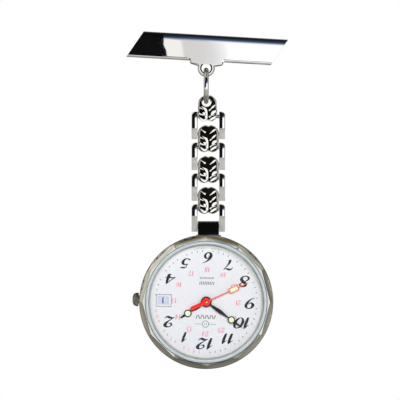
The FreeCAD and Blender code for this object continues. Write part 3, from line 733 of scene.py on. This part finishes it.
GLYPHS = {
    "0": [[(.36, .99, .05), (.16, .84, .11), (.07, .5, .15), (.12, .16, .11), (.3, .01, .05),
           (.48, .14, .11), (.6, .48, .15), (.54, .84, .11), (.36, .99, .05)]],
    "1": [[(.0, .66, .03), (.1, .74, .05), (.2, .9, .07), (.25, .99, .05)],
          [(.25, .99, .06), (.25, .8, .13), (.24, .4, .15), (.22, .02, .12)]],
    "2": [[(.33, .66, .04), (.22, .62, .07), (.14, .72, .09), (.18, .89, .06), (.34, .98, .07),
           (.52, .91, .14), (.56, .73, .16), (.44, .5, .1), (.24, .28, .05), (.06, .08, .05)],
          [(.06, .07, .05), (.18, .14, .1), (.34, .09, .15), (.5, .03, .12), (.6, .1, .05), (.64, .2, .03)]],
    "3": [[(.1, .78, .09), (.16, .93, .06), (.32, .99, .08), (.5, .88, .14), (.46, .67, .09),
           (.26, .55, .05)],
          [(.26, .56, .05), (.48, .5, .1), (.56, .26, .15), (.42, .05, .09), (.2, .01, .06), (.05, .14, .1)]],
    "4": [[(.52, .99, .05), (.32, .66, .05), (.03, .3, .05)],
          [(.02, .28, .05), (.18, .34, .08), (.4, .29, .1), (.62, .29, .05), (.68, .34, .03)],
          [(.52, .99, .06), (.5, .62, .13), (.46, .2, .15), (.43, .0, .12)],
          [(.3, .0, .04), (.43, .03, .06), (.56, .02, .03)]],
    "5": [[(.24, .92, .05), (.4, .97, .12), (.6, .94, .08), (.68, 1.0, .03)],
          [(.24, .93, .05), (.17, .56, .05)],
          [(.17, .56, .05), (.34, .64, .09), (.53, .52, .15), (.54, .27, .16), (.4, .05, .1),
           (.2, .0, .06), (.06, .1, .11)]],
    "6": [[(.64, .99, .03), (.4, .86, .07), (.17, .58, .14), (.09, .28, .16), (.22, .03, .1),
           (.42, .03, .07), (.55, .24, .13), (.48, .48, .12), (.32, .53, .06), (.22, .4, .04),
           (.28, .28, .03)]],
    "7": [[(.02, .74, .04), (.08, .88, .08), (.22, .95, .14), (.38, .89, .12), (.52, .87, .06),
           (.66, .96, .03)],
          [(.66, .96, .04), (.48, .62, .06), (.34, .3, .12), (.3, .02, .15)],
          [(.18, .02, .04), (.3, .03, .07), (.42, .02, .03)]],
    "8": [[(.54, .86, .07), (.4, .99, .06), (.22, .92, .1), (.2, .72, .13), (.4, .52, .15), (.53, .28, .14),
           (.44, .05, .08), (.24, .01, .07), (.08, .16, .1), (.12, .36, .08), (.36, .56, .05),
           (.56, .74, .07), (.54, .86, .07)]],
    "9": [[(.4, .62, .03), (.36, .5, .05), (.2, .5, .1), (.1, .7, .15), (.2, .95, .09), (.42, .98, .07),
           (.56, .78, .14), (.5, .46, .13), (.32, .16, .07), (.08, .0, .03)]],
}


PRINT = 0.012
CORNERS = [(-1, -1), (1, -1), (1, 1), (-1, 1)]


def pen_curve(points, steps=7):
    """Smooth run through (x, y, width) points."""
    out = []
    last = len(points) - 1
    for i in range(last):
        p0 = points[max(0, i - 1)]
        p1 = points[i]
        p2 = points[i + 1]
        p3 = points[min(last, i + 2)]
        for s in range(steps + (1 if i == last - 1 else 0)):
            t = s / steps
            out.append(tuple(
                0.5 * (2 * b + (c - a) * t + (2 * a - 5 * b + 4 * c - d) * t * t
                       + (3 * b - a - 3 * c + d) * t ** 3)
                for a, b, c, d in zip(p0, p1, p2, p3)))
    return out


def stroke_mesh(points, place, w0, thick):
    """One pen stroke as a thin raised ribbon with round ends."""
    left = []
    right = []
    count = len(points)
    for i, (x, y, width) in enumerate(points):
        ax, ay = points[max(0, i - 1)][:2]
        bx, by = points[min(count - 1, i + 1)][:2]
        length = math.hypot(bx - ax, by - ay) or 1.0
        nx = -(by - ay) / length * width / 2
        ny = (bx - ax) / length * width / 2
        left.append((x + nx, y + ny))
        right.append((x - nx, y - ny))

    def round_end(at, first):
        x, y, width = at
        start = math.atan2(first[1] - y, first[0] - x)
        turns = [start - math.pi * k / 5 for k in range(1, 5)]
        return [(x + width / 2 * math.cos(a), y + width / 2 * math.sin(a)) for a in turns]

    ring = left + round_end(points[-1], left[-1]) + right[::-1] + round_end(points[0], right[0])
    total = len(ring)
    last = 2 * count + 3
    verts = [place(x, y, w) for w in (w0 + thick, w0) for x, y in ring]
    faces = [(i, i + 1, last - i - 1, last - i) for i in range(count - 1)]
    faces.append(tuple(range(count - 1, count + 5)))
    faces.append((*range(last, total), 0))
    for i in range(total):
        j = (i + 1) % total
        faces.append((i, i + total, j + total, j))
    return verts, faces


def glyph_width(ch):
    return {"1": 0.40, "4": 0.72}.get(ch, 0.66)


def number_parts(text, centre, height, w0, slope, weight, squeeze, turn=0.0):
    """A number centred on a point of the dial; turn rotates it about its own centre."""
    gap = 0.02
    thinnest = 0.045
    lift_step = 0.0012
    total = sum(glyph_width(ch) for ch in text) + gap * (len(text) - 1)
    cursor = -total / 2
    c = math.cos(turn)
    s = math.sin(turn)

    def put(x, y, w):
        px = (x * squeeze + slope * (y - 0.5)) * height
        py = (y - 0.5) * height
        return in_dial(centre[0] + px * c - py * s, centre[1] + px * s + py * c, w)

    parts = []
    for ch in text:
        for stroke in GLYPHS[ch]:
            points = [(x + cursor, y, max(thinnest, width * weight)) for x, y, width in stroke]
            parts.append(stroke_mesh(pen_curve(points), put, w0, PRINT + lift_step * len(parts)))
        cursor += glyph_width(ch) + gap
    return parts


def around(degrees, r):
    """Place on the dial, degrees clockwise from 12."""
    a = math.radians(degrees)
    return r * math.sin(a), r * math.cos(a)


def dash(centre, long, wide, direction):
    """A printed rectangle on the dial, long along direction (degrees clockwise from 12)."""
    ux, uy = around(direction, 1.0)
    points = []
    for a, b in CORNERS:
        points.append((centre[0] + a * ux * long / 2 - b * uy * wide / 2,
                       centre[1] + a * uy * long / 2 + b * ux * wide / 2))
    return plate(points, DIAL_W, DIAL_W + PRINT, in_dial)


# ---- knot links: a core plate painted near-black as painted shade and reflection, with raised bright strands on both faces ----

STRANDS = [
    # (across, below the top, width) in millimetres; the first two lie where the top link has its hole
    [(-1.83, 1.01, 0.14), (-1.22, 1.41, 0.17), (-0.79, 1.71, 0.42)],
    [(0.32, 2.02, 0.14), (0.79, 1.68, 0.26), (1.26, 1.30, 0.42), (1.80, 0.94, 0.20)],
    [(-1.30, 2.70, 0.14), (-1.02, 2.92, 0.24), (-0.55, 3.23, 0.52), (-0.30, 3.83, 0.54), (-0.28, 5.31, 0.54)],
    [(0.46, 3.52, 0.36), (0.79, 3.23, 0.18), (1.20, 2.82, 0.44), (1.73, 2.35, 0.20)],
    [(-2.10, 2.86, 0.26), (-1.50, 3.08, 0.20), (-1.10, 3.30, 0.12)],
    [(-0.95, 4.16, 0.40), (-0.72, 4.36, 0.62), (-0.50, 4.70, 0.36)],
    [(1.00, 4.44, 0.46), (1.33, 4.03, 0.68), (2.00, 3.70, 0.40)],
    [(0.46, 5.07, 0.34), (0.86, 4.77, 0.16), (1.60, 4.57, 0.16)],
    [(-2.10, 4.10, 0.34), (-1.66, 4.44, 0.30), (-0.95, 4.62, 0.26)],
    [(-1.72, 5.35, 0.34), (-0.90, 5.90, 0.50), (-0.36, 5.58, 0.36)],
    [(0.62, 5.80, 0.38), (1.20, 5.42, 0.52), (1.90, 5.04, 0.40)],
]
CHEEK = [(1.66, 0.85, 0.14), (2.02, 1.50, 0.26), (2.08, 2.60, 0.30), (2.08, 3.80, 0.30), (2.06, 4.90, 0.26),
         (1.75, 5.50, 0.18)]
# strand round the lower half of the top link's hole: (degrees, width)
HOLE_STRAND = [(170, 0.14), (200, 0.28), (235, 0.34), (270, 0.34), (305, 0.34), (340, 0.28), (370, 0.14)]


def knot_outline(top, bottom, narrow):
    """Domed outline with two humps at the top and two at the bottom."""
    side = 2.42 - narrow
    lower = [(side, bottom + 1.5), (side - 0.12, bottom + 0.85), (side - 0.65, bottom + 0.38),
             (1.0, bottom + 0.12), (0.45, bottom + 0.28), (0.0, bottom + 0.50)]
    upper = [(side, top - 1.9), (side - 0.06, top - 1.35), (side - 0.38, top - 0.80),
             (side - 0.95, top - 0.34), (0.86, top - 0.10), (0.55, top - 0.06), (0.25, top - 0.20),
             (0.0, top - 0.32)]
    right = lower[::-1] + upper
    return right + [(-x, z) for x, z in reversed(right[1:-1])]


def knot_strands(number, top, hole, narrow):
    """Strands of one link as (x, z, width) points, and the places of its two cheeks in their list."""
    strands = []
    if number == 1:
        strand = []
        strand_r = 1.02
        for degrees, wide in HOLE_STRAND:
            a = math.radians(degrees)
            strand.append((hole[0] + strand_r * math.cos(a), hole[1] + strand_r * math.sin(a), wide))
        strands.append(strand)
    cheeks = (len(strands), len(strands) + 1)
    for side in (-1, 1):
        strands.append([(side * (x - narrow * max(0.0, 1 - down / 3)), top - down, wide)
                        for x, down, wide in CHEEK])
    for points in STRANDS[2 if number == 1 else 0:]:
        strands.append([(x, top - down, wide) for x, down, wide in points])
    return strands, cheeks


def make_knots():
    """Four links; the first is narrower, set to one side, and has the jump ring's hole."""
    half = 0.5
    hole_r = 0.86
    for number in range(1, 5):
        low, high = box_mm("knot_link_%d" % number)
        top = high[2]
        narrow = 0.29 if number == 1 else 0.0
        shift = -0.2 if number == 1 else 0.0
        hole = (RING_X - LINK_X + 0.28, top - 1.54)

        def put(x, y, z):
            return in_row(LINK_X + shift + x, CHAIN_Y + y, z)

        strands, cheeks = knot_strands(number, top, hole, narrow)
        parts = []
        picks = []
        for face in (-1, 1):
            for k, points in enumerate(strands):
                curve = pen_curve(points, 5)
                parts.append(stroke_mesh(curve, lambda x, z, w: put(x, face * w, z), 0.40, 0.42))
                # strands take the bright knot metal; the cheeks take its dimmer copy, painted shade
                picks += [1 if k in cheeks else 0] * len(parts[-1][1])
        knot = finish_mesh("knot_shell_%d" % number, merge(parts), [KNOT, KNOT_CHEEK_PAINTED_SHADE], "knot_%d" % number,
                           40, 0.07, picks)
        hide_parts("knot_link_%d" % number)
        outer = knot_outline(top, low[2], narrow)
        if number == 1:
            shape = holed_plate([(y, outer, circle(hole, hole_r, 48)) for y in (-half, half)], put)
        else:
            shape = loft([[put(x, y, z) for x, z in outer] for y in (-half, half)])
        # the core is near-black metal: painted shade and reflection between the strands
        core = finish_mesh("knot_core_%d" % number, shape, [KNOT_PAINTED_SHADE, KNOT_EDGE_PAINTED_SHADE], "knot_%d" % number,
                           40, 0.17)
        # the bevel takes the dim olive copy: painted shade on the core's edge
        core.modifiers["soft_edges"].material = 1


make_knots()


# ---- dial print ----

# (hour, degrees clockwise from 12, distance from the axis, height, width of the numeral)
HOURS = [(1, 30, 9.66, 2.25, 1.3), (2, 60, 9.75, 2.48, 1.38), (4, 120, 9.94, 2.2, 1.6),
         (5, 150, 10.1, 2.18, 1.34), (6, 180, 10.15, 2.48, 1.22), (7, 210, 9.94, 2.22, 1.36),
         (8, 240, 9.94, 2.48, 1.46), (9, 270, 10.09, 2.48, 1.38), (10, 299.2, 9.57, 2.48, 1.34),
         (11, 328.3, 9.90, 2.30, 1.4), (12, 0, 9.70, 2.48, 1.34)]
TRACK_R = 11.75


def print_numerals():
    """Black hours, red hours of the afternoon and red minutes."""
    big = []
    weight = 1.38
    for hour, at, r, height, squeeze in HOURS:
        slope = 0.30 if hour in (1, 10, 11, 12) else 0.17
        big += number_parts(str(hour), around(at, r), height, DIAL_W, slope, weight, squeeze)
    put_parts("dial_hour_numerals", big, INK, "watch")
    small = []
    slope = 0.1
    weight = 1.2
    for hour in range(13, 25):
        small += number_parts(str(hour), around(30 * hour, 7.45), 1.12, DIAL_W, slope, weight, 1.05)
    for minute in range(1, 14):
        if minute % 5:
            small += number_parts(str(minute), around(6 * minute, TRACK_R), 0.66, DIAL_W, slope, weight, 0.9)
    put_parts("dial_red_numerals", small, INK_RED, "watch")


def print_track():
    """Minute strokes, the frame of the date window, and a lume dot at each hour."""
    frame_x = 9.81
    frame_w = 3.46
    frame_h = 2.77
    line = 0.11
    ticks = []
    for minute in range(15, 60):
        if minute % 5:
            ticks.append(dash(around(6 * minute, TRACK_R), 0.34, 0.16, 6 * minute))
    for side in (-1, 1):
        ticks.append(dash((frame_x + side * frame_w / 2, 0), frame_h + line, line, 0))
        ticks.append(dash((frame_x, side * frame_h / 2), frame_w + line, line, 90))
    put_parts("dial_track", ticks, INK_GREY, "watch")
    dots = []
    for hour in range(12):
        if hour != 3:
            dots.append(plate(circle(around(30 * hour, 11.9), 0.20, 20), DIAL_W, DIAL_W + 0.05, in_dial))
    put_parts("dial_lume_dots", dots, LUME_DOT, "watch")


def print_ornament():
    """Plain strokes and a ring where such a dial has its lettering."""
    ring_y = 5.15
    marks = [revolved([(0.68, DIAL_W), (0.80, DIAL_W), (0.80, DIAL_W + PRINT), (0.68, DIAL_W + PRINT)],
                      lambda x, y, w: in_dial(x, ring_y + y, w), 40)]
    for side in (-1, 1):
        marks.append(dash((side * 1.62, ring_y), 1.6, 0.09, 90))
        marks.append(dash((side * 0.26, ring_y), 0.5, 0.10, 20 * side))
    # rows of strokes: (half the count, gap, up, length, width, lean of even and odd strokes)
    rows = [(4, 0.52, 3.5, 0.95, 0.19, (18, -18)), (4, 0.40, -4.3, 0.75, 0.17, (14, 14)),
            (5, 0.31, -5.5, 0.42, 0.14, (0, 0))]
    for half, gap, y, long, wide, leans in rows:
        for k in range(-half, half + 1):
            marks.append(dash((k * gap, y), long, wide, leans[k % 2]))
    for k in range(1, 9):
        for side in (-1, 1):
            at = 180 + side * (2.4 + 1.5 * k)
            marks.append(dash(around(at, 12.42), 0.26, 0.09, at))
    put_parts("dial_ornament", marks, INK_GREY, "watch")


def make_date():
    """The white rim of the date window, and the numerals of the date ring behind it."""
    centre = 9.95
    half_x = 1.25
    half_y = 0.94
    rim = 0.10
    rise = DIAL_W + 0.03
    window = []
    for pair in zip(CORNERS, CORNERS[1:] + CORNERS[:1]):
        loops = []
        for a, b in pair:
            near = (centre + a * half_x, b * half_y)
            far = (centre + a * (half_x + rim), b * (half_y + rim))
            loops.append([in_dial(*far, DIAL_W), in_dial(*far, rise), in_dial(*near, rise),
                          in_dial(*near, DIAL_W - 0.35)])
        window.append(loft(loops))
    put_parts("date_window_rim", window, DIAL, "watch")
    top = CHAIN_Y - box_mm("date_ring")[0][1]
    days = []
    for day in range(1, 32):
        turn = (day - 1) * 360 / 31
        days += number_parts(str(day), around(90 + turn, 9.98), 1.4, top, 0.0, 1.35, 0.95,
                             -math.radians(turn))
    put_parts("date_numerals", days, INK_DATE, "date_disc")


print_numerals()
print_track()
print_ornament()
make_date()


# ---- hands ----

# directions in degrees clockwise from 12
HAND_AT = {"hour_hand": 56.2, "minute_hand": 303.8, "second_hand": 243.6}


def hand_place(node):
    """Frame of a hand: x across, y along it, from the watch's axis."""
    a = math.radians(HAND_AT[node])

    def put(x, y, w):
        return in_dial(x * math.cos(a) + y * math.sin(a), y * math.cos(a) - x * math.sin(a), w)
    return put


def leaf_outline(eye_at, eye_r, tip):
    """Half widths of a leaf hand along its length."""
    rows = [(0.0, 0.17), (0.9, 0.19), (0.2 * eye_at, 0.21), (0.33 * eye_at, 0.34), (0.47 * eye_at, 0.44),
            (0.58 * eye_at, 0.44), (0.70 * eye_at, 0.31), (0.80 * eye_at, 0.19), (eye_at - eye_r, 0.15),
            (eye_at - eye_r + 0.12, 0.15)]
    end = eye_at + eye_r
    return rows, [(end - 0.1, 0.24), (end + 0.25, 0.27), (end + 0.9, 0.2), (tip, 0.015)]


def ridge_blade(rows, w0, w1, put):
    """A blade with a raised middle line."""
    loops = []
    fine = []
    for (y0, h0), (y1, h1) in zip(rows, rows[1:]):
        for k in range(6):
            t = k / 6
            s = t * t * (3 - 2 * t)
            fine.append((y0 + (y1 - y0) * t, h0 + (h1 - h0) * s))
    fine.append(rows[-1])
    for y, half in fine:
        edge = w0 + (w1 - w0) * 0.45
        loops.append([put(-half, y, w0), put(-half, y, edge), put(-half * 0.45, y, w1 - 0.02), put(0, y, w1),
                      put(half * 0.45, y, w1 - 0.02), put(half, y, edge), put(half, y, w0)])
    return loft(loops)


def flat_ring(centre_y, r_in, r_out, w0, w1, put):
    profile = [(r_in, w0), (r_out, w0), (r_out, w1 - 0.04), (r_out - 0.05, w1), (r_in + 0.05, w1),
               (r_in, w1 - 0.04)]
    return revolved(profile, lambda x, y, w: put(x, centre_y + y, w), 48)


def make_leaf_hand(node, body, eye_at, eye_r, tip):
    """A leaf hand with a round lume eye before its tip."""
    low, high = box_mm(node)
    w0 = CHAIN_Y - high[1]
    w1 = CHAIN_Y - low[1]
    put = hand_place(node)
    rows, tail = leaf_outline(eye_at, eye_r, tip)
    lume_r = eye_r - 0.24
    parts = [ridge_blade(rows, w0, w1, put), ridge_blade(tail, w0, w1, put),
             flat_ring(eye_at, lume_r, eye_r, w0, w1, put), flat_ring(0, 0.5, 1.25, w0, w1, put)]
    hand = put_parts(node + "_blade", parts, BLACK, body, 30)
    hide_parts(node)
    dome = [(0.001, w0 + 0.02), (lume_r, w0 + 0.02), (lume_r, w1 - 0.05), (lume_r * 0.7, w1 - 0.01),
            (0.001, w1)]
    lume = turned(dome, lambda x, y, w: put(x, eye_at + y, w), 32)
    put_parts(node + "_lume", [lume], LUME, body, 60)


def make_second_hand():
    """A needle with a lume box, and a red tail and hub."""
    node = "second_hand"
    w1 = CHAIN_Y - box_mm(node)[0][1]
    w0 = w1 - 0.13
    put = hand_place(node)
    half = 0.64
    start = 5.9
    end = 8.15
    wall = 0.2

    def rectangle(x0, y0, x1, y1, bottom, top):
        return plate([(x0, y0), (x1, y0), (x1, y1), (x0, y1)], bottom, top, put)

    needle = [(0.7, 0.15), (3.0, 0.13), (start, 0.12)]
    tip = [(end, 0.12), (9.4, 0.11), (10.5, 0.07)]
    parts = [ridge_blade(needle, w0, w1, put), ridge_blade(tip, w0, w1, put),
             rectangle(-half, start, wall - half, end, w0, w1 - 0.02),
             rectangle(half - wall, start, half, end, w0, w1 - 0.02),
             rectangle(-half, start, half, start + wall, w0, w1 - 0.02),
             rectangle(-half, end - wall, half, end, w0, w1 - 0.02)]
    hand = put_parts("second_hand_needle", parts, ORANGE, "seconds", 30)
    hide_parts(node)
    tail = [(-4.04, 0.02), (-4.0, 0.2), (-3.85, 0.36), (-3.6, 0.44), (-1.5, 0.43), (-0.4, 0.42)]
    hub = [(0.2, w0), (0.93, w0), (0.93, w1 - 0.03), (0.84, w1), (0.32, w1), (0.30, w1 - 0.03),
           (0.2, w1 - 0.03)]
    parts = [ridge_blade(tail, w0, w1, put), revolved(hub, put, 64)]
    put_parts("second_hand_tail", parts, RED, "seconds", 30)
    cap = [(0.001, w0), (0.3, w0), (0.3, w1 - 0.01), (0.2, w1 + 0.02), (0.001, w1 + 0.03)]
    put_parts("second_hand_pipe", [turned(cap, put, 32)], BRASS, "seconds", 60)
    lume = rectangle(wall - half, start + wall, half - wall, end - wall, w0 + 0.01, w1 - 0.04)
    put_parts("second_hand_lume", [lume], LUME, "seconds", 40)


make_leaf_hand("hour_hand", "hours", 5.0, 0.87, 7.15)
make_leaf_hand("minute_hand", "minutes", 7.15, 0.85, 10.6)
make_second_hand()


# ---- studio ----

def grey_at(clock, level):
    """A slightly warm stop of the side wall, at degrees clockwise from the top."""
    return ((clock + 180) % 360) / 360, (level, level * 0.975, level * 0.90)


# the front wall from left to right, close behind the camera
NEAR_LIGHT = [(0.0, (0.98, 0.95, 0.92)), (0.315, (0.98, 0.95, 0.92)), (0.35, (0.72, 0.71, 0.69)),
              (0.50, (0.72, 0.71, 0.69)), (0.64, (0.78, 0.77, 0.77)), (0.76, (0.95, 0.94, 0.96)),
              (0.84, (1.15, 1.15, 1.15))]
# the side wall: (degrees clockwise from the top, brightness)
SIDE_WALL = [(0, 0.16), (12, 0.42), (22, 0.66), (40, 0.62), (60, 0.46), (75, 0.26), (98, 0.22), (112, 0.46),
             (128, 0.46), (150, 0.32), (180.01, 0.20), (212, 0.22), (240, 0.35), (268, 0.44), (290, 0.95),
             (335, 1.0), (350, 0.55)]
RIM_LIGHT = sorted(grey_at(clock, level) for clock, level in SIDE_WALL) + [(1.0, (0.20, 0.195, 0.18))]
# from a lit wall to a black card; the soft edge is blue
CARD_EDGE = [(0.0, (1, 1, 1)), (0.10, (0.84, 0.87, 0.92)), (0.21, (0.38, 0.45, 0.59)),
             (0.38, (0.054, 0.082, 0.15)), (0.70, (0.015, 0.021, 0.032)), (1.0, (0.006, 0.006, 0.007))]
# from the sides to the back of the room
REAR_WALL = [(0.02, (1, 1, 1)), (0.15, (0.34, 0.33, 0.30)), (0.74, (0.34, 0.33, 0.30)),
             (0.90, (0.60, 0.59, 0.57))]


def make_world():
    """Plain white to the camera; to all other rays a room with black cards and duller side and rear walls."""
    world = bpy.data.worlds.new("studio")
    bpy.context.scene.world = world
    world.use_nodes = True
    tree = world.node_tree
    tree.nodes.clear()
    split = add(tree, "SeparateXYZ", {"Vector": add(tree, "TexCoord", {}).outputs["Generated"]})
    right, ahead, up = [split.outputs[axis] for axis in "XYZ"]

    def step(source, low, high, a=0.0, b=1.0, kind="SMOOTHSTEP"):
        """From a at low to b at high."""
        inputs = {"Value": source, "From Min": low, "From Max": high, "To Min": a, "To Max": b}
        node = add(tree, "MapRange", inputs)
        node.interpolation_type = kind
        return node.outputs["Result"]

    def calc(operation, a, b):
        node = add(tree, "Math", {0: a, 1: b})
        node.operation = operation
        return node.outputs["Value"]

    def mixed(a, b, factor):
        return add(tree, "MixRGB", {"Fac": factor, "Color1": a, "Color2": b}).outputs["Color"]

    def times(colour, value, stops):
        """Multiply a colour by a colour ramp over value."""
        node = add(tree, "MixRGB", {"Fac": 1.0, "Color1": colour, "Color2": colours(tree, value, stops)})
        node.blend_type = "MULTIPLY"
        return node.outputs["Color"]

    # black cards: at the left in front, above and beside the front, and high at the back
    drift = calc("ADD", right, step(up, 0.066, 1.0, 0.0, -0.0539, "LINEAR"))
    drift = calc("ADD", drift, step(up, 0.066, 0.080, 0.0, 0.0014))
    left = calc("MULTIPLY", step(drift, -0.0136, -0.0142), step(up, -0.24, -0.10))
    aside = calc("MAXIMUM", step(right, 0.22, 0.32), step(right, -0.22, -0.32))
    band = calc("MAXIMUM", step(up, 0.80, 0.72), aside)
    rise = calc("MULTIPLY", step(up, 0.09, 0.62, kind="LINEAR"), step(right, 0.90, 0.80))
    front = calc("MAXIMUM", left, calc("MULTIPLY", band, rise))
    front = calc("MULTIPLY", front, step(ahead, -0.30, -0.42))
    behind = calc("MULTIPLY", step(ahead, 0.02, 0.10), step(up, 0.15, 0.25))
    behind = calc("MULTIPLY", behind, step(ahead, 0.92, 0.80))
    dark = calc("MAXIMUM", front, behind)

    # front wall, with more detail above the middle
    along = step(right, -0.02, 0.02, kind="LINEAR")
    white = colours(tree, along, [(0.0, (0.98, 0.96, 0.94)), (1.0, (1.15, 1.15, 1.15))])
    light = mixed(white, colours(tree, along, NEAR_LIGHT), step(up, 0.045, 0.060))
    light = times(light, step(up, -0.22, -0.50), [(0.0, (1, 1, 1)), (1.0, (0.42, 0.405, 0.375))])

    # side wall, which changes round the clock
    turn = step(calc("ARCTAN2", right, up), -math.pi, math.pi, kind="LINEAR")
    rim = times(colours(tree, turn, RIM_LIGHT), step(ahead, -0.42, 0.05),
                [(0.0, (1.1, 1.1, 1.1)), (1.0, (0.8, 0.8, 0.8))])
    light = mixed(light, rim, calc("MULTIPLY", step(ahead, -0.42, -0.32), step(ahead, 0.25, 0.10)))
    above = calc("MULTIPLY", step(up, 0.78, 0.90), step(ahead, -0.04, -0.26))
    light = times(light, above, [(0.0, (1, 1, 1)), (1.0, (0.32, 0.295, 0.19))])
    light = times(light, step(ahead, 0.0, 1.0, kind="LINEAR"), REAR_WALL)

    seen = add(tree, "Background", {"Color": (1, 1, 1, 1)}).outputs["Background"]
    room = add(tree, "Background", {"Color": times(light, dark, CARD_EDGE)}).outputs["Background"]
    camera_ray = add(tree, "LightPath", {}).outputs["Is Camera Ray"]
    mix = add(tree, "MixShader", {0: camera_ray, 1: room, 2: seen})
    add(tree, "OutputWorld", {"Surface": mix.outputs["Shader"]})


def area_light(name, place, target, size, power):
    light = bpy.data.lights.new(name, "AREA")
    light.shape = "DISK"
    light.size = size
    light.energy = power
    lamp = new_object(name, light)
    lamp.location = place
    lamp.rotation_euler = (Vector(target) - Vector(place)).to_track_quat("-Z", "Y").to_euler()
    lamp.visible_glossy = False


def make_floor():
    """A floor below the watch; its weak glow keeps it pale from other angles."""
    material, tree = new_material("pale_floor")
    cloud = noise(tree, object_space(tree), 40.0)
    feed(tree, tree.nodes["Principled BSDF"], {
        "Base Color": ramp(tree, cloud, (0.86, 0.86, 0.86), (0.89, 0.89, 0.89)), "Roughness": 0.7,
        "Emission Color": (1, 1, 1, 1), "Emission Strength": 0.30})
    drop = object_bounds()[0][2] - 0.05
    mesh = bpy.data.meshes.new("floor")
    mesh.from_pydata([(x * 0.6, y * 0.45, drop) for x, y in CORNERS], [], [(0, 1, 2, 3)])
    mesh.materials.append(material)
    floor = new_object("floor", mesh)
    floor.visible_glossy = False


def make_camera():
    """Level long-lens view of the front, on the middle of the watch's height."""
    low, high = CAD_BOX
    distance = 0.55
    width = 0.0922
    data = bpy.data.cameras.new("camera")
    data.lens = data.sensor_width * distance / width
    data.clip_start = 0.01
    camera = new_object("camera", data)
    middle_z = (low[2] + high[2]) / 2
    camera.location = (-0.0017, CHAIN_Y * MM - 0.003 - distance, middle_z)
    camera.rotation_euler = (math.pi / 2, 0, 0)
    bpy.context.scene.camera = camera


make_world()
make_floor()
make_camera()
area_light("key", (0.13, -0.50, 0.13), (0, 0, -0.04), 0.22, 1.38)
area_light("fill", (-0.18, -0.48, -0.02), (0, 0, -0.05), 0.20, 0.70)
bpy.context.scene.view_settings.view_transform = "Standard"
